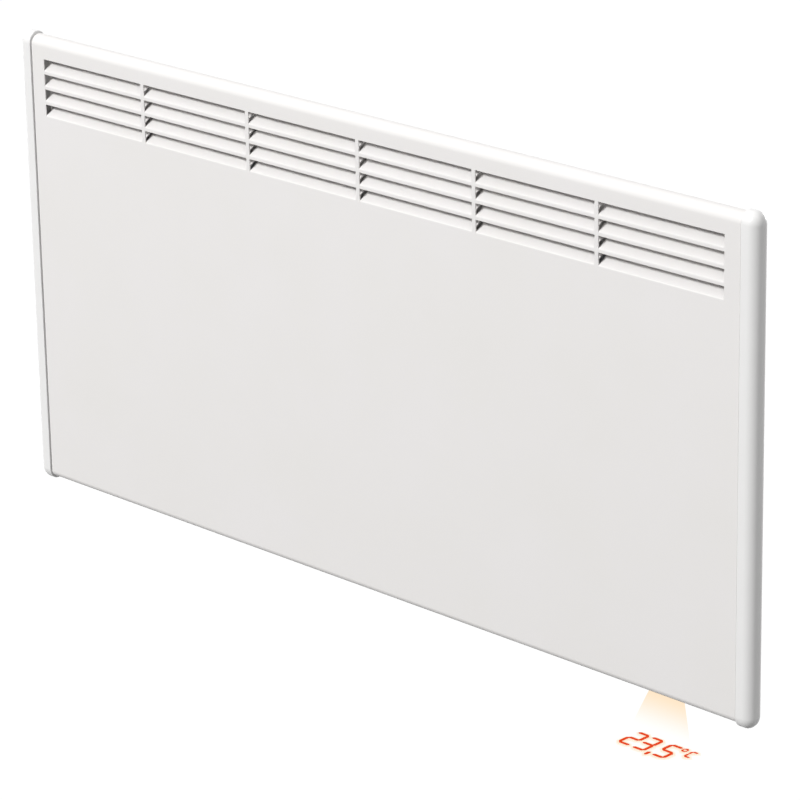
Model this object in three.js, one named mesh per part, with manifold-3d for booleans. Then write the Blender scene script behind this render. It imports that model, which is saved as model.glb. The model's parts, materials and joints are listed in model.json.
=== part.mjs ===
// Wall panel convector heater: a pressed steel cover with a louvred air outlet, moulded end caps, a rear
// pan, a finned heating element, a control module that throws its readout downwards, and a hook-on wall
// bracket. Millimetres, +Z up. The wall is the plane Y = 0 and the front looks along -Y. The origin is the
// middle of the wall bracket's back face.
import * as THREE from 'three';
import { mergeVertices } from 'three/addons/utils/BufferGeometryUtils.js';
import { RoundedBoxGeometry } from 'three/addons/geometries/RoundedBoxGeometry.js';
import Module from 'manifold-3d';

const wasm = await Module();
wasm.setup();

// ---------------------------------------------------------------- driving dimensions
const clearance = 0.3; // between pieces that seat on each other

// front cover
const coverWidth = 776;
const coverHeight = 394.3;
const coverSheet = 1.0;
const rollRadius = 8.2; // half-round roll along the top, so the cover is two of these deep
const foldRadius = 5.5; // front bottom fold
const hemRadius = 2.5; // rear bottom fold
const lipHeight = 14; // turned-in lips along the back of the cover

// louvred outlet
const grilleColumns = 6;
const grilleRows = 4;
const openingWidth = 121.2;
const openingHeight = 9.8;
const ribWidth = 3.8;
const stripHeight = 3.2;
const grilleDrop = 18.4; // from the cover's top to the first opening
const bladeReach = 10; // how far a blade runs inwards
const bladeRise = 6.4; // how far it climbs

// end caps
const capWidth = 14.8;
const capProud = 1.2; // in front of the cover
const capOverTop = 2.0;
const capOverBottom = 3.0;
const capRadius = 8.3; // seen from above
const capCornerRise = 10; // height of the rounded top and bottom corners
const capWall = 2.2;
const plugLength = 12; // register that enters the cover
const plugWall = 1.6;
const bossRadius = 3.6;
const bossLength = 9;

// rear pan
const standoff = 20; // air gap between the pan and the wall
const panDepth = 44;
const panSheet = 1.0;
const panMouthMargin = 16; // flange width at the ends
const panTaper = 40; // how far each end leans in
const panTopFall = 33; // how far the top leans down
const panTopMargin = 24; // from the cover's top to the pan's mouth
const panFloorRise = 14; // from the cover's bottom to the pan's floor
const floorLipHeight = 8; // of the floor plate's rear lip
const floorLipMargin = 6; // from the lip's end to the rear wall's end
const flangeMargin = 1; // flange edge inside the cover's edge

// air inlet slots in the pan's floor
const inletWidth = 6;
const inletLength = 26;
const inletPitch = 14;
const inletMargin = 4; // from the pan's left wall to the last slot's middle
const inletToSensor = 18; // from the room sensor to the first slot's middle

// case screws
const caseScrewColumns = 5;
const caseScrewInset = 7; // outer screws, in from the cover's ends
const screwRadius = 1.5;
const screwHeadRadius = 3.1;
const screwHeadHeight = 2.2;
const screwGrip = 3; // shank past the cover's lip
const capScrewGrip = 7; // shank inside a cap's boss
const socketRadius = 1.4;
const socketDepth = 1.2;

// heating element
const elementRise = 65; // above the pan's floor
const elementDepth = 37;
const tubeRadius = 4;
const finHubRadius = 7.5;
const finReach = 25;
const finSheet = 1.8;
const finLean = 33; // degrees of each wing from the vertical
const sideFinReach = 15;
const bracketMargin = 20; // from the pan's narrow end to the left bracket
const bracketToModule = 39; // from the right bracket to the control module
const bracketSheet = 1.2;
const bracketFoot = 12;
const bracketRise = 18; // above the pan's floor
const bracketHeight = 225;
const finGap = 6; // from the fin profile's ends to the brackets
const bushRadius = 8;
const bushFlangeRadius = 10.5;
const bushFlange = 3;
const bushInset = 3;
const tubeOverhang = 11; // tube past the bracket's web
const terminalStud = 4.7;
const terminalLength = 13.7;
const terminalWidth = 6.3;
const terminalSheet = 0.8;
const cutoutRise = 58; // above the element
const cutoutRadius = 7;
const cutoutHeight = 7;
const cutoutTabPitch = 10;
const cutoutTabReach = 8;

// heat shield
const shieldDepth = 11;
const shieldSheet = 0.8;
const shieldRise = 11; // above the pan's floor
const shieldHeight = 290;
const shieldHem = 6;
const shieldOverlap = 18; // past each element bracket

// control module, set into the middle of the pan's floor; places in it are measured from its middle
const moduleLength = 82;
const moduleBreadth = 34;
const moduleHeight = 50;
const moduleWall = 2;
const moduleFloor = 2.5;
const rimMarginX = 8; // rim past the module's ends
const rimMarginY = 2.5;
const rimSheet = 1.5;
const moduleScrewMargin = 4.6; // from the module's ends
const windowX = 5;
const windowY = -9.5;
const windowLength = 36;
const windowBreadth = 9;
const windowLedge = 1.3;
const windowSkin = 1.2; // housing wall that the window's flange lies on
const displayHeight = 5;
const boardSheet = 1.6;
const boardLift = 8.1; // control board above the module's face
const boardNotch = 1.6; // room that the control board leaves round the power switch
const keySize = 6;
const keyDrop = 0.5; // key switches under the control board
const buttonCount = 3;
const buttonFirst = 13; // from the module's left end
const buttonPitch = 14;
const buttonY = 8;
const buttonRadius = 4.5;
const buttonProud = 1.2;
const buttonTravel = 1.0;
const buttonEdge = 0.8; // rounding of a button's rim
const buttonFlange = 1.1;
const buttonFlangeSheet = 1;
const buttonStemRadius = 1.5;
const postRadius = 2.4;
const postInset = 3.4;
const powerBoardLift = 24;
const ledge = 2.5;
const lidSheet = 2;
const relayInset = 17; // from the module's inner right end
const relaySize = [20, 15, 15];
const relayNotch = 1.2;
const transformerX = -6;
const coreSize = [22, 12, 17];
const windingSize = [12, 20, 13.6];
const blockSize = [10, 26, 11];
const wellRadius = 1.8;
const wellDepth = 3;
const switchInset = 17; // from the module's right end
const switchY = 8;
const switchLength = 19;
const switchBreadth = 13;
const switchWall = 1.5;
const switchHeight = 13;
const bezelMargin = 1.6; // bezel past the switch's body
const bezelSheet = 1.5;
const switchTabPitch = 10;
const switchTabReach = 6;
const switchTabWidth = 4.8;
const rockerTilt = 9; // degrees from level at either stop
const rockerPin = 1.2;
const rockerPlay = 1; // between the rocker's ends and the switch's wall
const rockerReach = 4.2; // below the pivot, at the rocker's ends
const rockerWaist = 2.6; // below the pivot, at its middle
const rockerBack = 3; // above the pivot
const rockerDraft = 0.6;
const pivotLift = 0.5; // rocker's pivot above the module's face

// room sensor, cable gland and earth screw
const sensorToRim = 8; // from the module's rim
const sensorRadius = 2.4;
const sensorLength = 8;
const sensorLift = 2;
const clipSize = 10;
const clipHeight = 6;
const glandMargin = 13.1; // from the pan's right wall
const glandToRim = 13; // from the module's rim
const glandInset = 11.5; // from the pan's front
const glandHexRadius = 9;
const glandNeckRadius = 6;
const glandBoreRadius = 4.2;
const glandHexHeight = 5;
const glandDomeHeight = 6;
const glandNeckHeight = 8;
const glandNutHeight = 4;
const earthToModule = 8;
const earthRise = 33; // above the pan's floor
const earthShank = 4;

// wires
const wireRadius = 1.3;
const wirePortRadius = 1.9;
const feedPortY = -9;
const earthPortY = 0;
const farPortY = 9;
const portLift = 31.5;
const sensorPortY = -6;
const sensorPortLift = 15;

// wall bracket
const uprightX = 200;
const uprightWidth = 36;
const uprightSheet = 2;
const uprightRise = 33; // above the pan's floor
const hookDrop = 20; // below the top of the pan's back
const hookRoot = 6;
const hookLip = 12;
const hookLean = 22; // degrees that the lip leans from the wall
const hookThickness = 3;
const hookSlotHeight = 20;
const hookSlotSide = 1; // side play of a hook in its slot
const flangeSetback = 2; // upright's front edge behind the buffers
const railHeight = 60;
const railEndDepth = 16;
const rivetRadius = 2;
const rivetHeadRadius = 3.6;
const rivetHeadHeight = 1.2;
const rivetZ = 18;
const rivetDepth = 9;
const wallHoleRadius = 3.2;
const wallHoleDrop = 25; // upper wall screws, below the hooks
const wallHoleRise = 45; // lower wall screws, above the upright's bottom
const railSlotX = 90;
const railSlotLength = 18;
const bufferHeight = 20;
const bufferInset = 2; // from the upright's bottom
const bufferChamfer = 2;

// ---------------------------------------------------------------- reference planes
const panBackY = -standoff;
const panFrontY = panBackY - panDepth;
const coverBackY = panFrontY - clearance;
const coverFrontY = coverBackY - 2 * rollRadius;
const coverTopZ = coverHeight / 2;
const coverBottomZ = -coverHeight / 2;
const coverEndX = coverWidth / 2;
const mouthEndX = coverEndX - panMouthMargin;
const mouthTopZ = coverTopZ - panTopMargin;
const panFloorZ = coverBottomZ + panFloorRise;
const panInnerFloorZ = panFloorZ + panSheet;
const flangeBottomZ = coverBottomZ + flangeMargin;
const panInnerBackY = panBackY - panSheet;
const panRearEndX = mouthEndX - panTaper;
const panRearTopZ = mouthTopZ - panTopFall;
const panMiddleY = (panFrontY + panBackY) / 2;
const slantWall = panSheet * Math.SQRT2; // a leaning wall's thickness, measured level
const topScrewZ = coverTopZ - rollRadius - lipHeight / 2;
const bottomScrewZ = coverBottomZ + hemRadius + lipHeight / 2;
const faceZ = panFloorZ - clearance - rimSheet; // the control module's underside
const screwHole = screwRadius + clearance;
const glandHole = glandNeckRadius + clearance;
const glandY = panFrontY + glandInset;
const glandX = mouthEndX - (panTaper * glandInset) / panDepth - slantWall - glandMargin;
const rimLength = moduleLength + 2 * rimMarginX;
const rimBreadth = moduleBreadth + 2 * rimMarginY;
const moduleX = glandX - glandToRim - rimLength / 2;
const moduleY = panMiddleY;
const moduleScrewX = moduleLength / 2 + moduleScrewMargin;
const switchX = moduleLength / 2 - switchInset;
const moduleLeftX = moduleX - moduleLength / 2;
const sensorX = moduleX - rimLength / 2 - sensorToRim;
const sensorY = panMiddleY;
const earthX = moduleLeftX - earthToModule;
const earthZ = panFloorZ + earthRise;
const bracketLeftX = bracketMargin - panRearEndX;
const bracketRightX = moduleLeftX - bracketToModule;
const elementY = coverFrontY + elementDepth;
const elementZ = panFloorZ + elementRise;
const cutoutZ = elementZ + cutoutRise;
const uprightBottomZ = panFloorZ + uprightRise;
const hookZ = panRearTopZ - hookDrop;

const radians = (degrees) => (degrees * Math.PI) / 180;

// ---------------------------------------------------------------- shape helpers
const X = new THREE.Vector3(1, 0, 0);
const Y = new THREE.Vector3(0, 1, 0);
const Z = new THREE.Vector3(0, 0, 1);

// A closed three.js geometry as a solid for cuts and joins.
function solid(geometry) {
  const bare = new THREE.BufferGeometry();
  bare.setAttribute('position', geometry.getAttribute('position'));
  bare.setIndex(geometry.getIndex());
  const welded = mergeVertices(bare, 1e-4);
  const corners = welded.getIndex().array;
  const kept = [];
  for (let i = 0; i < corners.length; i += 3) {
    const [a, b, c] = [corners[i], corners[i + 1], corners[i + 2]];
    if (a !== b && b !== c && c !== a) {
      kept.push(a, b, c);
    }
  }
  const vertProperties = new Float32Array(welded.getAttribute('position').array);
  const triVerts = new Uint32Array(kept);
  return new wasm.Manifold(new wasm.Mesh({ numProp: 3, vertProperties, triVerts }));
}

function toGeometry(body) {
  const mesh = body.getMesh();
  const geometry = new THREE.BufferGeometry();
  geometry.setAttribute('position', new THREE.BufferAttribute(mesh.vertProperties, 3));
  geometry.setIndex(new THREE.BufferAttribute(mesh.triVerts, 1));
  geometry.computeVertexNormals();
  return geometry;
}

function joined(bodies) {
  return bodies.reduce((whole, body) => whole.add(body));
}

function cutBy(body, cutters) {
  return cutters.reduce((rest, cutter) => rest.subtract(cutter), body);
}

// A box from its lowest to its highest corner, given in any order.
function box(xa, xb, ya, yb, za, zb) {
  const geometry = new THREE.BoxGeometry(Math.abs(xb - xa), Math.abs(yb - ya), Math.abs(zb - za));
  geometry.translate((xa + xb) / 2, (ya + yb) / 2, (za + zb) / 2);
  return solid(geometry);
}

function arc(u, v, radius, from, to, steps = 6) {
  const points = [];
  for (let i = 0; i <= steps; i += 1) {
    const angle = radians(from + ((to - from) * i) / steps);
    points.push([u + radius * Math.cos(angle), v + radius * Math.sin(angle)]);
  }
  return points;
}

function extruded(outline, length) {
  const shape = new THREE.Shape(outline.map(([u, v]) => new THREE.Vector2(u, v)));
  return new THREE.ExtrudeGeometry(shape, { depth: length, bevelEnabled: false });
}

// Outlines of (y, z), (x, z) and (x, y) points, extruded along the axis that is left.
function alongX(outline, xa, xb) {
  const geometry = extruded(outline, Math.abs(xb - xa));
  geometry.applyMatrix4(new THREE.Matrix4().makeBasis(Y, Z, X));
  geometry.translate(Math.min(xa, xb), 0, 0);
  return solid(geometry);
}

function alongY(outline, ya, yb) {
  const geometry = extruded(outline, Math.abs(yb - ya));
  geometry.applyMatrix4(new THREE.Matrix4().makeBasis(X, Z, Y.clone().negate()));
  geometry.translate(0, Math.max(ya, yb), 0);
  return solid(geometry);
}

function alongZ(outline, za, zb) {
  const geometry = extruded(outline, Math.abs(zb - za));
  geometry.translate(0, 0, Math.min(za, zb));
  return solid(geometry);
}

function ring(u, v, radius, sides) {
  return arc(u, v, radius, 0, 360, sides).slice(0, -1);
}

// A slot's outline with round ends, its length along v.
function slot(u, v, width, length, steps = 3) {
  const straight = length / 2 - width / 2;
  return [
    ...arc(u, v + straight, width / 2, 0, 180, steps),
    ...arc(u, v - straight, width / 2, 180, 360, steps),
  ];
}

// A profile of (radius, height) points turned about an upright axis. The profile runs anticlockwise.
function turned(profile, segments = 16) {
  const points = profile.map(([radius, height]) => new THREE.Vector2(radius, height));
  const geometry = new THREE.LatheGeometry([...points, points[0]], segments);
  geometry.rotateX(Math.PI / 2);
  return geometry;
}

function turnedZ(profile, x, y, z, segments) {
  return solid(turned(profile, segments).translate(x, y, z));
}

// Turned about a level axis: heights run along +X or -X, as side says.
function turnedX(profile, side, x, y, z, segments) {
  return solid(turned(profile, segments).rotateY((side * Math.PI) / 2).translate(x, y, z));
}

// Heights run along -Y, towards the front.
function turnedFront(profile, x, y, z, segments) {
  return solid(turned(profile, segments).rotateX(Math.PI / 2).translate(x, y, z));
}

// A block between two upright rectangles, each given as { y, end, bottom, top }.
function tapered(front, back) {
  const corners = [front, back].flatMap(({ y, end, bottom, top }) => [
    -end, y, bottom, end, y, bottom, end, y, top, -end, y, top,
  ]);
  const faces = [
    0, 1, 2, 0, 2, 3, 5, 4, 7, 5, 7, 6, 4, 5, 1, 4, 1, 0,
    3, 2, 6, 3, 6, 7, 1, 5, 6, 1, 6, 2, 4, 0, 3, 4, 3, 7,
  ];
  const geometry = new THREE.BufferGeometry();
  geometry.setAttribute('position', new THREE.Float32BufferAttribute(corners, 3));
  geometry.setIndex(faces);
  return solid(geometry);
}

// A tube through chosen points, closed at both ends.
function wire(points, steps) {
  const path = new THREE.CatmullRomCurve3(points.map(([x, y, z]) => new THREE.Vector3(x, y, z)));
  const section = ring(0, 0, wireRadius, 6).map(([u, v]) => new THREE.Vector2(u, v));
  return solid(new THREE.ExtrudeGeometry(new THREE.Shape(section), { steps, extrudePath: path }));
}

// ---------------------------------------------------------------- materials
function finish(color, roughness, metalness = 0) {
  return new THREE.MeshStandardMaterial({ color, roughness, metalness });
}

const enamel = finish(0xefeeec, 0.42);
const capPlastic = finish(0xf1f0ee, 0.45);
const panEnamel = finish(0xe9e8e6, 0.5);
const zincSteel = finish(0xb8bcc0, 0.38, 0.9);
const aluminium = finish(0xd0d2d4, 0.35, 0.95);
const sheathSteel = finish(0x8d8983, 0.4, 0.9);
const ceramic = finish(0xeee8da, 0.6);
const brass = finish(0xc9a557, 0.35, 0.9);
const blackPlastic = finish(0x222326, 0.5);
const greyPlastic = finish(0xd9d9d7, 0.5);
const circuitGreen = finish(0x2b6a42, 0.45);
const clearPlastic = finish(0xf0efe8, 0.1);
const rubber = finish(0x2b2b2c, 0.85);
const redWire = finish(0x8f5a38, 0.5);
const blueWire = finish(0x3a6fb0, 0.5);
const earthWire = finish(0x88a53a, 0.5);

// ---------------------------------------------------------------- front cover
function coverOutline() {
  const s = coverSheet;
  const topY = coverFrontY + rollRadius;
  const topZ = coverTopZ - rollRadius;
  const lowY = coverFrontY + foldRadius;
  const lowZ = coverBottomZ + foldRadius;
  const hemY = coverBackY - hemRadius;
  const hemZ = coverBottomZ + hemRadius;
  return [
    [coverBackY, topZ - lipHeight],
    ...arc(topY, topZ, rollRadius, 0, 180, 12),
    ...arc(lowY, lowZ, foldRadius, 180, 270, 5),
    ...arc(hemY, hemZ, hemRadius, 270, 360, 3),
    [coverBackY, hemZ + lipHeight],
    [coverBackY - s, hemZ + lipHeight],
    ...arc(hemY, hemZ, hemRadius - s, 360, 270, 3),
    ...arc(lowY, lowZ, foldRadius - s, 270, 180, 5),
    ...arc(topY, topZ, rollRadius - s, 180, 0, 12),
    [coverBackY - s, topZ - lipHeight],
  ];
}

function openings() {
  const width = grilleColumns * openingWidth + (grilleColumns - 1) * ribWidth;
  const cells = [];
  for (let column = 0; column < grilleColumns; column += 1) {
    for (let row = 0; row < grilleRows; row += 1) {
      const left = -width / 2 + column * (openingWidth + ribWidth);
      const top = coverTopZ - grilleDrop - row * (openingHeight + stripHeight);
      cells.push({ left, right: left + openingWidth, top, bottom: top - openingHeight });
    }
  }
  return cells;
}

// A blade is the opening's own metal, bent inwards and upwards along its lower edge.
function blade({ left, right, bottom }) {
  const lean = Math.atan2(bladeRise, bladeReach);
  const backY = coverSheet * Math.sin(lean);
  const backZ = -coverSheet * Math.cos(lean);
  return alongX(
    [
      [coverFrontY, bottom],
      [coverFrontY + backY, bottom + backZ],
      [coverFrontY + bladeReach + backY, bottom + bladeRise + backZ],
      [coverFrontY + bladeReach, bottom + bladeRise],
    ],
    left,
    right,
  );
}

function caseScrewPlaces() {
  const places = [];
  for (let i = 0; i < caseScrewColumns; i += 1) {
    const end = coverEndX - caseScrewInset;
    const x = -end + (2 * end * i) / (caseScrewColumns - 1);
    const atCap = i === 0 || i === caseScrewColumns - 1;
    places.push({ name: `case_screw_top_${i + 1}`, x, z: topScrewZ, atCap });
    places.push({ name: `case_screw_bottom_${i + 1}`, x, z: bottomScrewZ, atCap });
  }
  return places;
}

function screwHoles(ya, yb) {
  return caseScrewPlaces().map(({ x, z }) => alongY(ring(x, z, screwHole, 10), ya, yb));
}

function frontCover() {
  const sheet = alongX(coverOutline(), -coverEndX, coverEndX);
  const cells = openings();
  const cuts = cells.map(({ left, right, top, bottom }) =>
    box(left, right, coverFrontY - coverSheet, coverFrontY + 2 * coverSheet, bottom, top));
  const grille = joined([cutBy(sheet, cuts), ...cells.map(blade)]);
  return cutBy(grille, screwHoles(coverBackY - 2 * coverSheet, coverBackY + coverSheet));
}

// ---------------------------------------------------------------- end caps
// A block with elliptical corners: round seen from above, taller seen from the side.
function capBlock(side, inset, steps) {
  const across = capRadius - inset;
  const rise = capCornerRise - inset;
  const top = coverTopZ + capOverTop - inset;
  const bottom = coverBottomZ - capOverBottom + inset;
  const front = coverFrontY - capProud + inset;
  const back = coverBackY - inset;
  const outer = coverEndX + clearance + capWidth - inset;
  const length = 2 * (outer - coverEndX + plugLength);
  const size = [length / across, (back - front) / across, (top - bottom) / rise];
  const block = new RoundedBoxGeometry(...size, steps, 1);
  block.scale(across, across, rise);
  block.translate(side * (outer - length / 2), (front + back) / 2, (top + bottom) / 2);
  return solid(block);
}

// The inside of the cover, drawn in by a gap.
function registerOutline(gap) {
  const inset = coverSheet + gap;
  const fold = Math.max(foldRadius - inset, 0);
  const hem = Math.max(hemRadius - inset, 0);
  const lowZ = coverBottomZ + inset;
  return [
    ...arc(coverFrontY + rollRadius, coverTopZ - rollRadius, rollRadius - inset, 0, 180, 8),
    ...arc(coverFrontY + inset + fold, lowZ + fold, fold, 180, 270, 3),
    ...arc(coverBackY - inset - hem, lowZ + hem, hem, 270, 360, 2),
  ];
}

function endCap(side) {
  const seam = coverEndX + clearance;
  const outside = coverEndX + capWidth + plugLength;
  const low = coverBottomZ - 2 * capCornerRise;
  const high = coverTopZ + 2 * capCornerRise;
  const keep = box(side * seam, side * outside, coverFrontY - standoff, coverBackY + standoff, low, high);
  const web = seam + capWall;
  const room = box(side * web, side * outside, coverFrontY - standoff, coverBackY + standoff, low, high);
  const shell = capBlock(side, 0, 4).intersect(keep).subtract(capBlock(side, capWall, 2).intersect(room));
  const plug = alongX(registerOutline(clearance), side * (seam - plugLength), side * (seam + capWall / 2));
  const insideX = side * (seam - 2 * plugLength);
  const inside = alongX(registerOutline(clearance + plugWall), insideX, side * (web + 1));
  const bossY = coverBackY - coverSheet - clearance;
  const bossX = side * (coverEndX - caseScrewInset);
  const heights = [topScrewZ, bottomScrewZ];
  const bosses = heights.map((z) => alongY(ring(bossX, z, bossRadius, 16), bossY - bossLength, bossY));
  const pilots = heights.map((z) =>
    alongY(ring(bossX, z, screwHole, 12), bossY - bossLength + capWall / 2, bossY + capWall));
  const body = shell.add(plug).subtract(inside);
  return cutBy(joined([body, ...bosses]), pilots);
}

// ---------------------------------------------------------------- rear pan
const panMouth = { y: panFrontY, end: mouthEndX, bottom: panFloorZ, top: mouthTopZ };
const panRear = { y: panBackY, end: panRearEndX, bottom: panFloorZ, top: panRearTopZ };

// The pan's leaning walls, followed to another depth plane and drawn in by their thickness.
function panInside(y) {
  const t = (y - panFrontY) / panDepth;
  return {
    y,
    end: mouthEndX - panTaper * t - slantWall,
    bottom: panInnerFloorZ,
    top: mouthTopZ - panTopFall * t - slantWall,
  };
}

function inletSlots() {
  const slots = [];
  const last = inletMargin - panInside(panMiddleY + inletLength / 2).end;
  for (let x = sensorX - inletToSensor; x >= last; x -= inletPitch) {
    slots.push(alongZ(slot(x, panMiddleY, inletWidth, inletLength), panFloorZ - 1, panInnerFloorZ + 1));
  }
  return slots;
}

function hookSlots() {
  const half = uprightWidth / 2 + hookSlotSide;
  const top = hookZ + clearance;
  return [-uprightX, uprightX].map((x) =>
    box(x - half, x + half, panInnerBackY - 1, panBackY + 1, top - hookSlotHeight, top));
}

function floorHole(x, y, radius) {
  return alongZ(ring(x, y, radius, 16), panFloorZ - 1, panInnerFloorZ + 1);
}

// The tray in one piece, before its floor is parted from its walls.
function tray() {
  const flangeEnd = coverEndX - flangeMargin;
  const flangeTop = coverTopZ - rollRadius;
  const flange = box(-flangeEnd, flangeEnd, panFrontY, panFrontY + panSheet, flangeBottomZ, flangeTop);
  const hollow = tapered(panInside(panFrontY - panSheet), panInside(panInnerBackY));
  const walls = flange.add(tapered(panMouth, panRear)).subtract(hollow);
  return cutBy(walls, screwHoles(panFrontY - 1, panFrontY + 2 * panSheet));
}

// The space that the floor plate fills: the floor between the flange's two ends, and the flange under it.
function floorSpace(gap) {
  const end = mouthEndX + gap;
  return box(-end, end, panFrontY - 1, panBackY + 1, flangeBottomZ - 1, panInnerFloorZ + gap);
}

function rearPan() {
  const earthHole = alongY(ring(earthX, earthZ, screwHole, 12), panInnerBackY - 1, panBackY + 1);
  return cutBy(tray(), [floorSpace(clearance), ...hookSlots(), earthHole]);
}

// The plate that carries the control module. Its rear lip laps the pan's rear wall on the inside.
function panFloor() {
  const halfLength = moduleLength / 2 + clearance;
  const halfBreadth = moduleBreadth / 2 + clearance;
  const moduleHole = box(moduleX - halfLength, moduleX + halfLength, moduleY - halfBreadth,
    moduleY + halfBreadth, panFloorZ - 1, panInnerFloorZ + 1);
  const lipBackY = panInnerBackY - clearance;
  const lipEnd = panRearEndX - floorLipMargin;
  const lip = box(-lipEnd, lipEnd, lipBackY - panSheet, lipBackY, panFloorZ, panInnerFloorZ + floorLipHeight);
  return cutBy(tray().intersect(floorSpace(0)).add(lip), [
    ...inletSlots(),
    moduleHole,
    floorHole(glandX, glandY, glandHole),
    floorHole(sensorX, sensorY, sensorRadius),
    floorHole(moduleX - moduleScrewX, moduleY, screwHole),
    floorHole(moduleX + moduleScrewX, moduleY, screwHole),
  ]);
}

// ---------------------------------------------------------------- screws
// A pan-head screw profile with its seat at height 0: the shank runs down, the head stands up.
function screwProfile(shank) {
  return [
    [0, -shank],
    [screwRadius, -shank],
    [screwRadius, 0],
    [screwHeadRadius, 0],
    [screwHeadRadius, screwHeadHeight * 0.5],
    [screwHeadRadius * 0.7, screwHeadHeight],
    [0, screwHeadHeight],
  ];
}

function caseScrew({ x, z, atCap }) {
  const seatY = panFrontY + panSheet + clearance;
  const grip = atCap ? capScrewGrip : screwGrip;
  const shank = seatY - (coverBackY - coverSheet) + grip;
  const profile = screwProfile(shank).map(([radius, height]) => [radius, -height]).reverse();
  const body = turnedFront(profile, x, seatY, z, 10);
  const socketY = seatY + screwHeadHeight - socketDepth;
  return body.subtract(alongY(ring(x, z, socketRadius, 6), socketY, socketY + screwHeadHeight));
}

function earthScrew() {
  const seatY = panInnerBackY - clearance;
  const body = turnedFront(screwProfile(earthShank), earthX, seatY, earthZ, 10);
  const socketY = seatY - screwHeadHeight + socketDepth;
  return body.subtract(alongY(ring(earthX, earthZ, socketRadius, 6), socketY - screwHeadHeight, socketY));
}

function moduleScrew(side) {
  const x = moduleX + side * moduleScrewX;
  const seatZ = faceZ - clearance;
  const shank = panInnerFloorZ - seatZ + screwGrip;
  const profile = screwProfile(shank).map(([radius, height]) => [radius, -height]).reverse();
  const body = turnedZ(profile, x, moduleY, seatZ, 10);
  const socketZ = seatZ - screwHeadHeight + socketDepth;
  return body.subtract(alongZ(ring(x, moduleY, socketRadius, 6), socketZ - screwHeadHeight, socketZ));
}

// ---------------------------------------------------------------- heating element
const finLeftX = bracketLeftX + bracketSheet + finGap;
const finRightX = bracketRightX - bracketSheet - finGap;

// The wings of the extruded profile, as thin slabs turned about the tube's axis.
function finWing(degrees, reach) {
  const angle = radians(degrees);
  const [c, s] = [Math.cos(angle), Math.sin(angle)];
  const half = finSheet / 2;
  const corners = [[-reach, -half], [reach, -half], [reach, half], [-reach, half]];
  const outline = corners.map(([u, v]) => [elementY + u * c - v * s, elementZ + u * s + v * c]);
  return alongX(outline, finLeftX, finRightX);
}

function elementFins() {
  const hub = alongX(ring(elementY, elementZ, finHubRadius, 16), finLeftX, finRightX);
  const bore = alongX(ring(elementY, elementZ, tubeRadius + clearance, 16), finLeftX - 1, finRightX + 1);
  const wings = [
    finWing(90 - finLean, finReach),
    finWing(90 + finLean, finReach),
    finWing(0, sideFinReach),
    finWing(90, sideFinReach),
  ];
  return joined([hub, ...wings]).subtract(bore);
}

function elementTube() {
  const outline = ring(elementY, elementZ, tubeRadius, 16);
  return alongX(outline, bracketLeftX - tubeOverhang, bracketRightX + tubeOverhang);
}

function bracketPlace(side) {
  return side > 0 ? bracketRightX : bracketLeftX;
}

function elementBracket(side) {
  const outerX = bracketPlace(side);
  const innerX = outerX - side * bracketSheet;
  const footX = outerX + side * bracketFoot;
  const frontY = coverFrontY + shieldDepth + shieldSheet + clearance;
  const backY = panInnerBackY - clearance;
  const low = panFloorZ + bracketRise;
  const high = low + bracketHeight;
  const web = box(innerX, outerX, frontY, backY, low, high);
  const front = box(innerX, footX, frontY, frontY + bracketSheet, low, high);
  const foot = box(innerX, footX, backY - bracketSheet, backY, low, high);
  const seat = ring(elementY, elementZ, bushRadius + clearance, 20);
  return joined([web, front, foot]).subtract(alongX(seat, innerX - side, outerX + side));
}

function ceramicBush(side) {
  const seat = bracketSheet + bushInset;
  const bore = tubeRadius + clearance;
  const profile = [
    [bore, -seat],
    [bushRadius, -seat],
    [bushRadius, clearance],
    [bushFlangeRadius, clearance],
    [bushFlangeRadius, clearance + bushFlange],
    [bore, clearance + bushFlange],
  ];
  return turnedX(profile, side, bracketPlace(side), elementY, elementZ, 20);
}

function elementTerminal(side) {
  const root = bracketPlace(side) + side * (tubeOverhang + clearance);
  const tip = root + side * terminalLength;
  const stud = alongX(ring(elementY, elementZ, tubeRadius / 2, 12), root, root + side * terminalStud);
  const half = terminalWidth / 2;
  const bladeX = root + side * (terminalStud - 1);
  const tab = box(bladeX, tip, elementY - half, elementY + half,
    elementZ - terminalSheet / 2, elementZ + terminalSheet / 2);
  return stud.add(tab);
}

const cutoutSeatX = bracketRightX + clearance;
const cutoutTabX = cutoutSeatX + cutoutHeight + cutoutTabReach;

function thermalCutout() {
  const profile = [
    [0, 0],
    [cutoutRadius, 0],
    [cutoutRadius, cutoutHeight * 0.6],
    [cutoutRadius * 0.85, cutoutHeight * 0.6],
    [cutoutRadius * 0.85, cutoutHeight],
    [0, cutoutHeight],
  ];
  const body = turnedX(profile, 1, cutoutSeatX, elementY, cutoutZ, 18);
  const half = terminalWidth / 2;
  const tabs = [-1, 1].map((side) => {
    const z = cutoutZ + (side * cutoutTabPitch) / 2;
    return box(cutoutSeatX + cutoutHeight - 1, cutoutTabX, elementY - half, elementY + half,
      z - terminalSheet / 2, z + terminalSheet / 2);
  });
  return joined([body, ...tabs]);
}

function heatShield() {
  const front = coverFrontY + shieldDepth;
  const back = front + shieldSheet;
  const hem = back + shieldHem;
  const low = panFloorZ + shieldRise;
  const high = low + shieldHeight;
  const outline = [
    [hem, low],
    [hem, low + shieldSheet],
    [back, low + shieldSheet],
    [back, high - shieldSheet],
    [hem, high - shieldSheet],
    [hem, high],
    [front, high],
    [front, low],
  ];
  return alongX(outline, bracketLeftX - shieldOverlap, bracketRightX + shieldOverlap);
}

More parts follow.
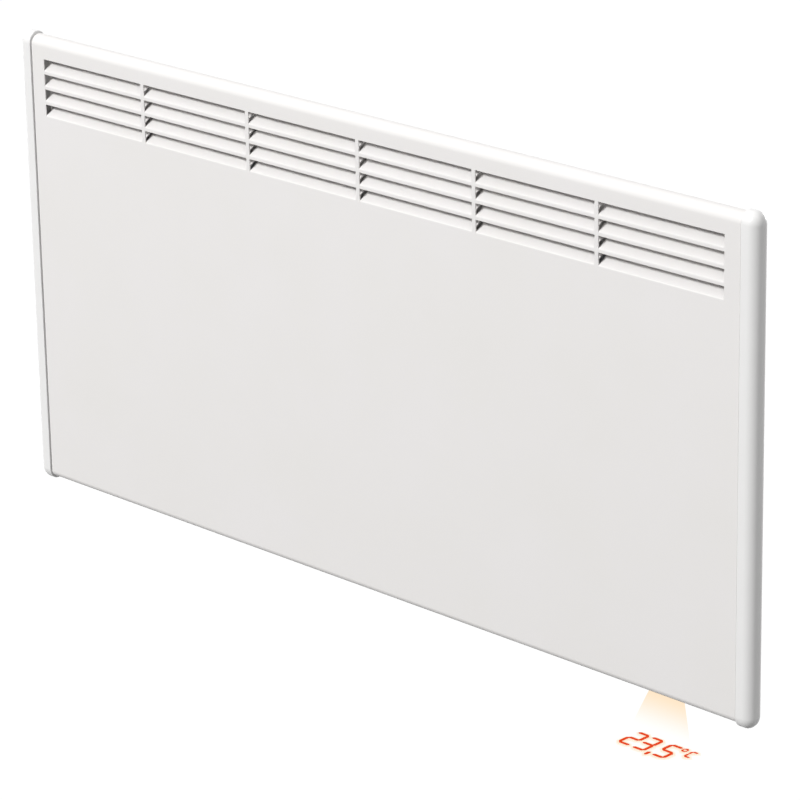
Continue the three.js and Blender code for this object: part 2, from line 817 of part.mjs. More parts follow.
// ---------------------------------------------------------------- control module
const innerLength = moduleLength / 2 - moduleWall;
const innerBreadth = moduleBreadth / 2 - moduleWall;
const relayX = innerLength - relayInset;
const buttonLeftX = buttonFirst - moduleLength / 2;
const buttonX = Array.from({ length: buttonCount }, (_, i) => buttonLeftX + i * buttonPitch);
const powerBoardZ = faceZ + powerBoardLift;
const controlBoardZ = faceZ + boardLift;
const componentZ = powerBoardZ + boardSheet + clearance;
const pivotZ = faceZ + pivotLift;
const portZ = faceZ + portLift;
const sensorPortZ = faceZ + sensorPortLift;

// A box in the module's own frame: (x, y) from its middle, z from its underside.
function inModule(xa, xb, ya, yb, za, zb) {
  return box(moduleX + xa, moduleX + xb, moduleY + ya, moduleY + yb, faceZ + za, faceZ + zb);
}

function windowCut(margin, za, zb) {
  const halfX = windowLength / 2 + margin;
  const halfY = windowBreadth / 2 + margin;
  return inModule(windowX - halfX, windowX + halfX, windowY - halfY, windowY + halfY, za, zb);
}

// A hole through the module's underside, or through its rim.
function faceHole(x, y, radius) {
  return alongZ(ring(moduleX + x, moduleY + y, radius, 16), faceZ - 1, faceZ + moduleFloor + 1);
}

// Three posts carry the control board; the fourth corner is the power switch's.
function boardPosts() {
  const x = innerLength - postInset;
  const y = innerBreadth - postInset;
  return [[-x, -y], [-x, y], [x, -y]].map(([px, py]) =>
    alongZ(ring(moduleX + px, moduleY + py, postRadius, 10), faceZ + 1, controlBoardZ - clearance));
}

function boardLedges() {
  const top = powerBoardLift - clearance;
  return [-1, 1].map((side) => inModule(side * (innerLength - ledge), side * (innerLength + 1),
    -innerBreadth - 1, innerBreadth + 1, top - ledge, top));
}

function switchHole() {
  const halfX = switchLength / 2 + clearance;
  const halfY = switchBreadth / 2 + clearance;
  return inModule(switchX - halfX, switchX + halfX, switchY - halfY, switchY + halfY, -1, moduleFloor + 1);
}

function controlHousing() {
  const length = moduleLength / 2;
  const breadth = moduleBreadth / 2;
  const outer = inModule(-length, length, -breadth, breadth, 0, moduleHeight);
  const rim = inModule(-rimLength / 2, rimLength / 2, -rimBreadth / 2, rimBreadth / 2, 0, rimSheet);
  const hollow = inModule(-innerLength, innerLength, -innerBreadth, innerBreadth,
    moduleFloor, moduleHeight + 1);
  return cutBy(joined([outer.add(rim).subtract(hollow), ...boardPosts(), ...boardLedges()]), [
    windowCut(0, -1, moduleFloor + 1),
    windowCut(windowLedge, windowSkin, moduleFloor + 1),
    ...buttonX.map((x) => faceHole(x, buttonY, buttonRadius + clearance)),
    ...[-moduleScrewX, moduleScrewX].map((x) => faceHole(x, 0, screwHole)),
    switchHole(),
    ...[feedPortY, earthPortY, farPortY].map((y) => port(y, portZ)),
    port(sensorPortY, sensorPortZ),
  ]);
}

// A wire's hole through the module's left wall.
function port(y, z) {
  return alongX(ring(moduleY + y, z, wirePortRadius, 12), moduleLeftX - 1, moduleLeftX + moduleWall + 1);
}

function controlLid() {
  const length = moduleLength / 2;
  const breadth = moduleBreadth / 2;
  const plate = inModule(-length, length, -breadth, breadth, moduleHeight + clearance,
    moduleHeight + clearance + lidSheet);
  const tongue = inModule(clearance - innerLength, innerLength - clearance, clearance - innerBreadth,
    innerBreadth - clearance, moduleHeight - lidSheet, moduleHeight + clearance + 1);
  return plate.add(tongue);
}

function projectionWindow() {
  const seat = windowSkin + clearance;
  const plug = windowCut(-clearance, 0, moduleFloor);
  return plug.add(windowCut(windowLedge - clearance, seat, moduleFloor));
}

function digitDisplay() {
  const top = boardLift - clearance;
  return windowCut(-2 * clearance, top - displayHeight, top);
}

// The control board goes round the power switch. Small key switches hang under it, one above each button.
function controlBoard() {
  const end = innerLength - clearance;
  const edge = innerBreadth - clearance;
  const left = switchX - switchLength / 2 - boardNotch;
  const low = switchY - switchBreadth / 2 - boardNotch;
  const outline = [[-end, -edge], [end, -edge], [end, low], [left, low], [left, edge], [-end, edge]];
  const points = outline.map(([x, y]) => [moduleX + x, moduleY + y]);
  const board = alongZ(points, controlBoardZ, controlBoardZ + boardSheet);
  const half = keySize / 2;
  const keys = buttonX.map((x) =>
    inModule(x - half, x + half, buttonY - half, buttonY + half, boardLift - keyDrop, boardLift + keyDrop));
  return joined([board, ...keys]);
}

function powerBoard() {
  const end = innerLength - clearance;
  const edge = innerBreadth - clearance;
  return inModule(-end, end, -edge, edge, powerBoardLift, powerBoardLift + boardSheet);
}

function onPowerBoard(x, [length, breadth, height]) {
  const base = componentZ - faceZ;
  return inModule(x - length / 2, x + length / 2, -breadth / 2, breadth / 2, base, base + height);
}

const blockX = -innerLength + blockSize[0] / 2 + 2 * clearance;

// The clamp block has a screw well above each wire.
function terminalBlock() {
  const top = componentZ + blockSize[2];
  const wells = [feedPortY, earthPortY, farPortY].map((y) =>
    alongZ(ring(moduleX + blockX, moduleY + y, wellRadius, 10), top - wellDepth, top + 1));
  return cutBy(onPowerBoard(blockX, blockSize), wells);
}

function relay() {
  const [length, breadth] = relaySize;
  const left = relayX - length / 2;
  const near = -breadth / 2;
  const notch = inModule(left - 1, left + relayNotch, near - 1, near + relayNotch, 0, moduleHeight);
  return onPowerBoard(relayX, relaySize).subtract(notch);
}

// A laminated core with its winding standing proud at both sides.
function transformer() {
  return onPowerBoard(transformerX, coreSize).add(onPowerBoard(transformerX, windingSize));
}

function pushButton(x) {
  const flangeZ = moduleFloor + clearance;
  const flangeTop = flangeZ + buttonFlangeSheet;
  const stemTop = boardLift - keyDrop - clearance - buttonTravel;
  const profile = [
    [0, -buttonProud],
    [buttonRadius - buttonEdge, -buttonProud],
    [buttonRadius, -buttonProud + buttonEdge],
    [buttonRadius, flangeZ],
    [buttonRadius + buttonFlange, flangeZ],
    [buttonRadius + buttonFlange, flangeTop],
    [buttonStemRadius, flangeTop],
    [buttonStemRadius, stemTop],
    [0, stemTop],
  ];
  return turnedZ(profile, moduleX + x, moduleY + buttonY, faceZ, 16);
}

function powerSwitch() {
  const halfX = switchLength / 2;
  const halfY = switchBreadth / 2;
  const local = (x, y, za, zb) => inModule(switchX - x, switchX + x, switchY - y, switchY + y, za, zb);
  const low = -clearance - bezelSheet;
  const bezel = local(halfX + bezelMargin, halfY + bezelMargin, low, -clearance);
  const can = local(halfX, halfY, low, switchHeight);
  const hollow = local(halfX - switchWall, halfY - switchWall, low - 1, switchHeight - switchWall);
  const tabs = [-1, 1].map((side) => {
    const x = switchX + (side * switchTabPitch) / 2;
    return inModule(x - terminalSheet / 2, x + terminalSheet / 2, switchY - switchTabWidth / 2,
      switchY + switchTabWidth / 2, switchHeight - 1, switchHeight + switchTabReach);
  });
  const pins = alongY(ring(moduleX + switchX, pivotZ, rockerPin + clearance, 12),
    moduleY + switchY - halfY - 1, moduleY + switchY + halfY + 1);
  return cutBy(joined([bezel, can, ...tabs]), [hollow, pins]);
}

// The rocker is drawn level about its pivot and then tipped to its first stop.
function rocker() {
  const halfX = switchLength / 2 - switchWall - rockerPlay;
  const halfY = switchBreadth / 2 - switchWall - clearance;
  const backX = halfX - rockerDraft;
  const outline = [
    [-halfX, -rockerReach],
    [0, -rockerWaist],
    [halfX, -rockerReach],
    [backX, rockerBack],
    [-backX, rockerBack],
  ];
  const paddle = alongY(outline, -halfY, halfY);
  const pinReach = switchBreadth / 2 - clearance;
  return paddle.add(alongY(ring(0, 0, rockerPin, 12), -pinReach, pinReach));
}

// ---------------------------------------------------------------- room sensor and cable gland
function sensorClip() {
  const half = clipSize / 2;
  const base = panInnerFloorZ + clearance;
  const top = base + clipHeight;
  const body = box(sensorX - half, sensorX + half, sensorY - half, sensorY + half, base, top);
  return body.subtract(alongZ(ring(sensorX, sensorY, sensorRadius + clearance, 16), base - 1, top + 1));
}

function roomSensor() {
  const profile = [
    [0, 0],
    [sensorRadius * 0.7, 0],
    [sensorRadius, sensorRadius * 0.4],
    [sensorRadius, sensorLength - 1],
    [sensorRadius * 0.6, sensorLength],
    [0, sensorLength],
  ];
  return turnedZ(profile, sensorX, sensorY, panInnerFloorZ + sensorLift, 16);
}

function cableGland() {
  const hexTop = panFloorZ - clearance;
  const hexBottom = hexTop - glandHexHeight;
  const neckTop = panInnerFloorZ + glandNeckHeight;
  const hex = alongZ(ring(glandX, glandY, glandHexRadius, 6), hexBottom, hexTop);
  const neck = alongZ(ring(glandX, glandY, glandNeckRadius, 20), hexBottom, neckTop);
  const dome = turnedZ([
    [0, -glandDomeHeight],
    [glandHexRadius * 0.62, -glandDomeHeight],
    [glandHexRadius * 0.84, 0],
    [glandHexRadius * 0.84, 1],
    [0, 1],
  ], glandX, glandY, hexBottom, 20);
  const domeBottom = hexBottom - glandDomeHeight;
  const bore = alongZ(ring(glandX, glandY, glandBoreRadius, 20), domeBottom - 1, neckTop + 1);
  return joined([hex, neck, dome]).subtract(bore);
}

function glandNut() {
  const base = panInnerFloorZ + clearance;
  const top = base + glandNutHeight;
  const nut = alongZ(ring(glandX, glandY, glandHexRadius - 1, 6), base, top);
  return nut.subtract(alongZ(ring(glandX, glandY, glandHole, 20), base - 1, top + 1));
}

// ---------------------------------------------------------------- wires
const portX = moduleX - innerLength + clearance;
const looseX = portX - 12; // where the leads climb beside the module
const farRunY = panInnerBackY - 10; // the long lead lies low along the pan's back
const farRunZ = panInnerFloorZ + 8;
const terminalRightX = bracketRightX + tubeOverhang + clearance + terminalLength;
const terminalLeftX = bracketLeftX - tubeOverhang - clearance - terminalLength;
const cutoutHighZ = cutoutZ + cutoutTabPitch / 2;
const cutoutLowZ = cutoutZ - cutoutTabPitch / 2;
const sensorTopZ = panInnerFloorZ + sensorLift + sensorLength;

// A wire's straight start inside a port, and its straight end against a tab.
function leadOut(y, z) {
  return [[portX, moduleY + y, z], [portX - 5, moduleY + y, z]];
}

function leadIn(tabX, side, z) {
  return [[tabX + side * 4, elementY, z], [tabX + side * clearance, elementY, z]];
}

function cutoutFeedWire() {
  const y = moduleY + feedPortY;
  return wire([
    ...leadOut(feedPortY, portZ),
    [looseX + 2, y - 3, portZ + 14],
    [looseX, y - 5, elementZ + 8],
    [looseX, y - 5, cutoutLowZ - 7],
    [looseX - 3, elementY - 5, cutoutHighZ],
    ...leadIn(cutoutTabX, 1, cutoutHighZ),
  ], 18);
}

function cutoutReturnWire() {
  return wire([
    ...leadIn(cutoutTabX, 1, cutoutLowZ).reverse(),
    [looseX + 2, elementY + 7, cutoutLowZ - 10],
    [looseX + 6, elementY + 8, elementZ + 22],
    [looseX + 6, elementY + 3, elementZ + 4],
    ...leadIn(terminalRightX, 1, elementZ),
  ], 16);
}

function farEndWire() {
  return wire([
    ...leadOut(farPortY, portZ),
    [portX - 11, moduleY + farPortY, portZ - 1],
    [bracketRightX + 24, farRunY, farRunZ + 7],
    [bracketRightX, farRunY, farRunZ + 1],
    [(bracketLeftX + bracketRightX) / 2, farRunY, farRunZ],
    [bracketLeftX + 12, farRunY, farRunZ + 1],
    [bracketLeftX - 12, farRunY - 1, farRunZ + 8],
    [terminalLeftX - 5, elementY + 5, elementZ - 29],
    [terminalLeftX - 9, elementY + 1, elementZ - 8],
    ...leadIn(terminalLeftX, -1, elementZ),
  ], 64);
}

function earthLeadWire() {
  const headY = panInnerBackY - screwHeadHeight;
  return wire([
    ...leadOut(earthPortY, portZ),
    [earthX + 1, moduleY + 4, earthZ - 1],
    [earthX, headY - 4, earthZ],
    [earthX, headY - 2 * clearance, earthZ],
  ], 10);
}

function sensorLeadWire() {
  return wire([
    ...leadOut(sensorPortY, sensorPortZ),
    [sensorX + 6, sensorY - 2, sensorTopZ + 8],
    [sensorX, sensorY, sensorTopZ + 4],
    [sensorX, sensorY, sensorTopZ + clearance],
  ], 10);
}

// ---------------------------------------------------------------- wall bracket
// A side flange's outline in (y, z), with the hook at its upper end.
function uprightSide() {
  const edge = -(standoff - flangeSetback);
  const lipY = panInnerBackY - 2 * clearance;
  const lean = hookLip * Math.tan(radians(hookLean));
  return [
    [0, uprightBottomZ],
    [0, hookZ],
    [lipY, hookZ],
    [lipY - lean, hookZ + hookLip],
    [lipY - lean - hookThickness, hookZ + hookLip],
    [lipY - hookThickness, hookZ - hookRoot],
    [edge, hookZ - hookRoot],
    [edge, uprightBottomZ],
  ].reverse();
}

// Two rivet holes through a sheet at x.
function rivetHoles(x, side) {
  return [-rivetZ, rivetZ].map((z) => alongX(
    ring(-rivetDepth, z, rivetRadius + clearance, 12),
    x - side * (uprightSheet + 1),
    x + side * (uprightSheet + 1),
  ));
}

function bracketUpright(side) {
  const inner = side * (uprightX - uprightWidth / 2);
  const outer = side * (uprightX + uprightWidth / 2);
  const web = box(inner, outer, -uprightSheet, 0, uprightBottomZ, hookZ);
  const flanges = [
    alongX(uprightSide(), inner, inner + side * uprightSheet),
    alongX(uprightSide(), outer, outer - side * uprightSheet),
  ];
  const wallHoles = [hookZ - wallHoleDrop, uprightBottomZ + wallHoleRise].map((z) =>
    alongY(ring(side * uprightX, z, wallHoleRadius, 16), -uprightSheet - 1, 1));
  return cutBy(joined([web, ...flanges]), [...wallHoles, ...rivetHoles(inner, side)]);
}

const railEndX = uprightX - uprightWidth / 2 - clearance;

function bracketRail() {
  const half = railHeight / 2;
  const web = box(-railEndX, railEndX, -uprightSheet, 0, -half, half);
  const ends = [-1, 1].map((side) =>
    box(side * (railEndX - uprightSheet), side * railEndX, -railEndDepth, 0, -half, half));
  const slots = [-railSlotX, railSlotX].map((x) => {
    const outline = slot(0, 0, 2 * wallHoleRadius, railSlotLength, 6).map(([u, v]) => [x + v, u]);
    return alongY(outline, -uprightSheet - 1, 1);
  });
  const holes = [-1, 1].flatMap((side) => rivetHoles(side * railEndX, side));
  return cutBy(joined([web, ...ends]), [...slots, ...holes]);
}

function rivet(side, up) {
  const grip = 2 * uprightSheet + 3 * clearance;
  const head = rivetHeadHeight;
  const profile = [
    [0, -head],
    [rivetHeadRadius * 0.7, -head],
    [rivetHeadRadius, 0],
    [rivetRadius, 0],
    [rivetRadius, grip],
    [rivetHeadRadius, grip],
    [rivetHeadRadius * 0.7, grip + head],
    [0, grip + head],
  ];
  const seatX = railEndX - uprightSheet - clearance;
  return turnedX(profile, side, side * seatX, -rivetDepth, up * rivetZ, 10);
}

function rubberBuffer(side) {
  const half = uprightWidth / 2 - uprightSheet - clearance;
  const bottom = uprightBottomZ + bufferInset;
  const frontY = panBackY + clearance;
  const top = bottom + bufferHeight;
  const backY = -uprightSheet - clearance;
  const outline = [
    [frontY, bottom + bufferChamfer],
    [frontY + bufferChamfer, bottom],
    [backY, bottom],
    [backY, top],
    [frontY + bufferChamfer, top],
    [frontY, top - bufferChamfer],
  ];
  return alongX(outline, side * uprightX - half, side * uprightX + half);
}

// ---------------------------------------------------------------- assembly
function piece(name, body, material) {
  const mesh = new THREE.Mesh(toGeometry(body), material);
  mesh.name = name;
  return mesh;
}

const sides = [['left', -1], ['right', 1]];
const buttonNames = ['button_down', 'button_up', 'button_mode'];
const heater = new THREE.Group();
const bracket = new THREE.Group();

heater.add(
  piece('front_cover', frontCover(), enamel),
  ...sides.map(([word, side]) => piece(`end_cap_${word}`, endCap(side), capPlastic)),
  piece('rear_pan', rearPan(), panEnamel),
  piece('pan_floor', panFloor(), panEnamel),
  ...caseScrewPlaces().map((place) => piece(place.name, caseScrew(place), zincSteel)),
  piece('heat_shield', heatShield(), zincSteel),
  piece('element_fins', elementFins(), aluminium),
  piece('element_tube', elementTube(), sheathSteel),
  ...sides.map(([word, side]) => piece(`element_bracket_${word}`, elementBracket(side), zincSteel)),
  ...sides.map(([word, side]) => piece(`ceramic_bush_${word}`, ceramicBush(side), ceramic)),
  ...sides.map(([word, side]) => piece(`element_terminal_${word}`, elementTerminal(side), brass)),
  piece('thermal_cutout', thermalCutout(), blackPlastic),
  piece('earth_screw', earthScrew(), brass),
);

heater.add(
  piece('control_housing', controlHousing(), greyPlastic),
  piece('control_lid', controlLid(), greyPlastic),
  piece('projection_window', projectionWindow(), clearPlastic),
  piece('digit_display', digitDisplay(), blackPlastic),
  piece('control_board', controlBoard(), circuitGreen),
  piece('power_board', powerBoard(), circuitGreen),
  piece('relay', relay(), blackPlastic),
  piece('transformer', transformer(), brass),
  piece('terminal_block', terminalBlock(), blackPlastic),
  piece('power_switch', powerSwitch(), blackPlastic),
  ...sides.map(([word, side]) => piece(`module_screw_${word}`, moduleScrew(side), zincSteel)),
  ...buttonX.map((x, i) => piece(buttonNames[i], pushButton(x), greyPlastic)),
  piece('sensor_clip', sensorClip(), greyPlastic),
  piece('room_sensor', roomSensor(), blackPlastic),
  piece('cable_gland', cableGland(), blackPlastic),
  piece('gland_nut', glandNut(), blackPlastic),
);

const rockerPiece = piece('power_rocker', rocker(), blackPlastic);
rockerPiece.position.set(moduleX + switchX, moduleY + switchY, pivotZ);
rockerPiece.rotation.y = radians(rockerTilt);
heater.add(rockerPiece);

heater.add(
  piece('wire_cutout_feed', cutoutFeedWire(), redWire),
  piece('wire_cutout_return', cutoutReturnWire(), redWire),
  piece('wire_far_end', farEndWire(), blueWire),
  piece('wire_earth', earthLeadWire(), earthWire),
  piece('wire_sensor', sensorLeadWire(), greyPlastic),
);

bracket.add(
  ...sides.map(([word, side]) => piece(`bracket_upright_${word}`, bracketUpright(side), zincSteel)),
  piece('bracket_rail', bracketRail(), zincSteel),
  ...sides.flatMap(([word, side]) => [
    piece(`rail_rivet_${word}_upper`, rivet(side, 1), zincSteel),
    piece(`rail_rivet_${word}_lower`, rivet(side, -1), zincSteel),
    piece(`rubber_buffer_${word}`, rubberBuffer(side), rubber),
  ]),
);

const assembly = new THREE.Group();
assembly.add(heater, bracket);

export default assembly;
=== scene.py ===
"""Wall panel convector heater: its visible surfaces and materials, in a plain white studio."""

import json
import math

import bmesh
import bpy
from mathutils import Matrix, Vector


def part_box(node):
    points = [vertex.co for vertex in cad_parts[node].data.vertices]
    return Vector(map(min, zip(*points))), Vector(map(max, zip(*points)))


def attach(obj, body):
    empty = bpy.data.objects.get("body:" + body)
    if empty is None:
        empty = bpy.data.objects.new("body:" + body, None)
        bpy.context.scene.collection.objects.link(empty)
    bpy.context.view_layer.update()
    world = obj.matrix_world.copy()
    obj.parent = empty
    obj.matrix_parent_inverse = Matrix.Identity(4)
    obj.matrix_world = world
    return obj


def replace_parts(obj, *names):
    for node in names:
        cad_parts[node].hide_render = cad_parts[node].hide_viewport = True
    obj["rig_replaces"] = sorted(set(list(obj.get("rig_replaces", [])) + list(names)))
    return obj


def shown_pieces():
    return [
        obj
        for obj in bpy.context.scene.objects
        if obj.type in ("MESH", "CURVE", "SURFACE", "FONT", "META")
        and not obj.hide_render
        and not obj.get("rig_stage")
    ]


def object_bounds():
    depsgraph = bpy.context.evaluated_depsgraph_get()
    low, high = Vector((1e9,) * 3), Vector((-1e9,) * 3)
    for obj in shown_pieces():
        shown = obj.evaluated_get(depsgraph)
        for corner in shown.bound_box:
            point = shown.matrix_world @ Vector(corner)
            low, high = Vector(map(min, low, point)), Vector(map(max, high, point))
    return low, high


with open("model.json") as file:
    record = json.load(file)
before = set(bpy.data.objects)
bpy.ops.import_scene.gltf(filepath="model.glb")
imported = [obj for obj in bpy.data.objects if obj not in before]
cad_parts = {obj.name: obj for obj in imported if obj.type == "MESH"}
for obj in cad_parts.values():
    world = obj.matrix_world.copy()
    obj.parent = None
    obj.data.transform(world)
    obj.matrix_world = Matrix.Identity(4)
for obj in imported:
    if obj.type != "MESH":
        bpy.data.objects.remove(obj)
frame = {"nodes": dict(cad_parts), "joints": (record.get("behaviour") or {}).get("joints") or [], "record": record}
NODES = frame["nodes"]
CAD_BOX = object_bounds()
SLOTS = {part["node"]: part["material_slot"] for part in frame["record"]["subparts"]}
MM = 0.001

# ---------------------------------------------------------------- sizes that the pieces share, in metres
COVER_LOW, COVER_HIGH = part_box("front_cover")
SHEET = 1.0 * MM
ROLL_RADIUS = 8.2 * MM
FOLD_RADIUS = 5.5 * MM
HEM_RADIUS = 2.5 * MM
LIP_HEIGHT = 14 * MM
GRILLE_COLUMNS = 6
GRILLE_ROWS = 4
OPENING_WIDTH = 121.2 * MM
OPENING_HEIGHT = 9.8 * MM
RIB_WIDTH = 3.8 * MM
STRIP_HEIGHT = 3.2 * MM
GRILLE_DROP = 18.4 * MM
BLADE_REACH = 10 * MM
BLADE_RISE = 6.4 * MM
BLADE_BEND = 1.6 * MM
BLADE_STEPS = 5
COVER_EDGE = 0.18 * MM
SAME_HEIGHT = 0.0001 * MM

CAP_RADIUS = 8.3 * MM
CAP_RISE = 10 * MM
CAP_EDGE = 0.2 * MM
SEAM_GAP = 1.1 * MM
REGISTER_INSET = 2.4 * MM
CLEARANCE = 0.3 * MM
PLUG_LENGTH = 6 * MM
HOLE_SIDES = 20


# ---------------------------------------------------------------- mesh helpers
def arc(u, v, radius, start, end, steps):
    """Points of an arc about (u, v), angles in degrees."""
    points = []
    for i in range(steps + 1):
        angle = math.radians(start + (end - start) * i / steps)
        points.append((u + radius * math.cos(angle), v + radius * math.sin(angle)))
    return points


def link(name, mesh):
    piece = bpy.data.objects.new(name, mesh)
    bpy.context.scene.collection.objects.link(piece)
    return piece


def from_bmesh(name, bm):
    mesh = bpy.data.meshes.new(name)
    bm.to_mesh(mesh)
    bm.free()
    return link(name, mesh)


def settle(piece, sharp=35):
    """Applies a piece's modifiers and shades it smooth up to a sharp angle, in degrees."""
    bpy.context.view_layer.update()
    graph = bpy.context.evaluated_depsgraph_get()
    mesh = bpy.data.meshes.new_from_object(piece.evaluated_get(graph))
    piece.modifiers.clear()
    piece.data = mesh
    mesh.shade_smooth()
    if sharp is not None:
        mesh.set_sharp_from_angle(angle=math.radians(sharp))
    return piece


def bevel(piece, width, segments=2, angle=40):
    """Rounds the edges of a piece, and keeps its flat faces flat in the shading."""
    rounding = piece.modifiers.new("edge", "BEVEL")
    rounding.width = width
    rounding.segments = segments
    rounding.limit_method = "ANGLE"
    rounding.angle_limit = math.radians(angle)
    weighting = piece.modifiers.new("shade", "WEIGHTED_NORMAL")
    weighting.keep_sharp = False
    piece.data.shade_smooth()
    return settle(piece, sharp=None)


def thicken(piece):
    """Gives a sheet its thickness, inwards from its outer face."""
    step = piece.modifiers.new("sheet", "SOLIDIFY")
    step.thickness = SHEET
    step.offset = -1
    step.use_even_offset = True


def combine(piece, other, operation):
    """Joins, cuts or intersects a piece with another one, which is used up."""
    step = piece.modifiers.new("combine", "BOOLEAN")
    step.operation = operation
    step.solver = "EXACT"
    step.object = other
    settle(piece, sharp=30)
    bpy.data.objects.remove(other)
    return piece


def prism(name, outline, axis, low, high):
    """A closed prism of an outline, extruded along axis x, y or z between two heights.
    The outline's points are (y, z), (x, z) or (x, y)."""
    place = {
        "x": lambda u, v, w: (w, u, v),
        "y": lambda u, v, w: (u, w, v),
        "z": lambda u, v, w: (u, v, w),
    }[axis]
    bm = bmesh.new()
    ends = [[bm.verts.new(place(u, v, w)) for u, v in outline] for w in (low, high)]
    count = len(outline)
    for i in range(count):
        j = (i + 1) % count
        bm.faces.new((ends[0][i], ends[0][j], ends[1][j], ends[1][i]))
    bm.faces.new(ends[0][::-1])
    bm.faces.new(ends[1])
    bmesh.ops.recalc_face_normals(bm, faces=bm.faces)
    return from_bmesh(name, bm)


def ring(u, v, radius, sides, start=0):
    return arc(u, v, radius, start, start + 360, sides)[:-1]


def lathe(name, profile, segments=48):
    """A profile of (radius, height) points turned about Z. Started off the axis, it closes into a ring."""
    bm = bmesh.new()
    rows = []
    for radius, height in profile:
        if radius == 0:
            rows.append([bm.verts.new((0, 0, height))])
        else:
            rows.append([bm.verts.new((x, y, height)) for x, y in ring(0, 0, radius, segments)])
    if profile[0][0] > 0:
        rows.append(rows[0])
    for near, far in zip(rows, rows[1:]):
        for i in range(segments):
            j = (i + 1) % segments
            corners = [near[i % len(near)], near[j % len(near)], far[j % len(far)], far[i % len(far)]]
            bm.faces.new(list(dict.fromkeys(corners)))
    bmesh.ops.recalc_face_normals(bm, faces=bm.faces)
    return from_bmesh(name, bm)


def put(piece, at, direction):
    """Turns a piece that was made about Z to another axis, and moves it."""
    turn = Vector(direction).to_track_quat("Z", "Y").to_matrix().to_4x4()
    piece.data.transform(Matrix.Translation(at) @ turn)
    return piece


def stand_for(piece, body, slot, *nodes):
    """The piece rides on a body and replaces its solids. The slot is not used."""
    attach(piece, body)
    if nodes:
        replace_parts(piece, *nodes)
    return piece


def centre(node):
    low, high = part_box(node)
    return (low + high) / 2


def finished(node, body, width):
    """A copy of a solid with its coplanar triangles joined and its edges rounded."""
    bm = bmesh.new()
    bm.from_mesh(NODES[node].data)
    bmesh.ops.remove_doubles(bm, verts=bm.verts, dist=0.001 * MM)
    bmesh.ops.dissolve_limit(bm, angle_limit=math.radians(0.5), verts=bm.verts, edges=bm.edges)
    piece = from_bmesh(node + "_finished", bm)
    bevel(piece, width)
    return stand_for(piece, body, SLOTS[node], node)


# ---------------------------------------------------------------- materials
class Finish:
    """A procedural material that is worked out in the object's own space, in metres."""

    def __init__(self, name, roughness=0.5, metallic=0.0):
        self.material = bpy.data.materials.new(name)
        self.material.use_nodes = True
        self.tree = self.material.node_tree
        self.shader = self.tree.nodes["Principled BSDF"]
        self.shader.inputs["Metallic"].default_value = metallic
        self.shader.inputs["Roughness"].default_value = roughness
        self.place = self.tree.nodes.new("ShaderNodeTexCoord").outputs["Object"]

    def set(self, socket, value):
        self.shader.inputs[socket].default_value = value
        return self

    def stretched(self, scale):
        mapping = self.tree.nodes.new("ShaderNodeMapping")
        mapping.inputs["Scale"].default_value = scale
        self.tree.links.new(self.place, mapping.inputs["Vector"])
        return mapping.outputs["Vector"]

    def noise(self, size, detail=2.0, along=(1, 1, 1)):
        """Noise with spots of about that size, in metres, drawn out where along is below 1."""
        node = self.tree.nodes.new("ShaderNodeTexNoise")
        node.inputs["Scale"].default_value = 1 / size
        node.inputs["Detail"].default_value = detail
        self.tree.links.new(self.stretched(along), node.inputs["Vector"])
        return node.outputs["Fac"]

    def cells(self, size):
        node = self.tree.nodes.new("ShaderNodeTexVoronoi")
        node.inputs["Scale"].default_value = 1 / size
        self.tree.links.new(self.place, node.inputs["Vector"])
        separate = self.tree.nodes.new("ShaderNodeSeparateColor")
        self.tree.links.new(node.outputs["Color"], separate.inputs["Color"])
        return separate.outputs["Red"]

    def span(self, source, low, high, low_in=0.3, high_in=0.7):
        node = self.tree.nodes.new("ShaderNodeMapRange")
        node.inputs["From Min"].default_value = low_in
        node.inputs["From Max"].default_value = high_in
        node.inputs["To Min"].default_value = low
        node.inputs["To Max"].default_value = high
        self.tree.links.new(source, node.inputs["Value"])
        return node.outputs["Result"]

    def colour(self, source, first, second, low_in=0.3, high_in=0.7):
        ramp = self.tree.nodes.new("ShaderNodeValToRGB")
        ramp.color_ramp.elements[0].position = low_in
        ramp.color_ramp.elements[1].position = high_in
        ramp.color_ramp.elements[0].color = (*first, 1)
        ramp.color_ramp.elements[1].color = (*second, 1)
        self.tree.links.new(source, ramp.inputs["Fac"])
        self.tree.links.new(ramp.outputs["Color"], self.shader.inputs["Base Color"])
        return self

    def rough(self, source, low, high):
        self.tree.links.new(self.span(source, low, high), self.shader.inputs["Roughness"])
        return self

    def bumpy(self, source, depth, strength=1.0):
        node = self.tree.nodes.new("ShaderNodeBump")
        node.inputs["Distance"].default_value = depth
        node.inputs["Strength"].default_value = strength
        self.tree.links.new(source, node.inputs["Height"])
        self.tree.links.new(node.outputs["Normal"], self.shader.inputs["Normal"])
        return self


def enamel(name, tone, warmth=0.026, peel=0.006 * MM, grain=1.6 * MM, roughness=(0.42, 0.5)):
    """Baked powder enamel: even colour with faint drifts, and a fine orange peel."""
    finish = Finish(name)
    first = (tone, tone - warmth * 0.7, tone - warmth)
    second = (tone - 0.012, tone - 0.016 - warmth * 0.5, tone - 0.020 - warmth)
    finish.colour(finish.noise(90 * MM, 3), first, second)
    finish.rough(finish.noise(14 * MM, 3), *roughness)
    finish.bumpy(finish.noise(grain, 2), peel)
    return finish.set("Specular IOR Level", 0.25).material


def moulded(name, first, second, roughness, grain=0.7 * MM, depth=0.004 * MM):
    """Moulded plastic with a fine spark-eroded grain."""
    finish = Finish(name)
    finish.colour(finish.noise(25 * MM, 3), first, second)
    finish.rough(finish.noise(4 * MM, 3), *roughness)
    finish.bumpy(finish.noise(grain, 2), depth)
    return finish.material


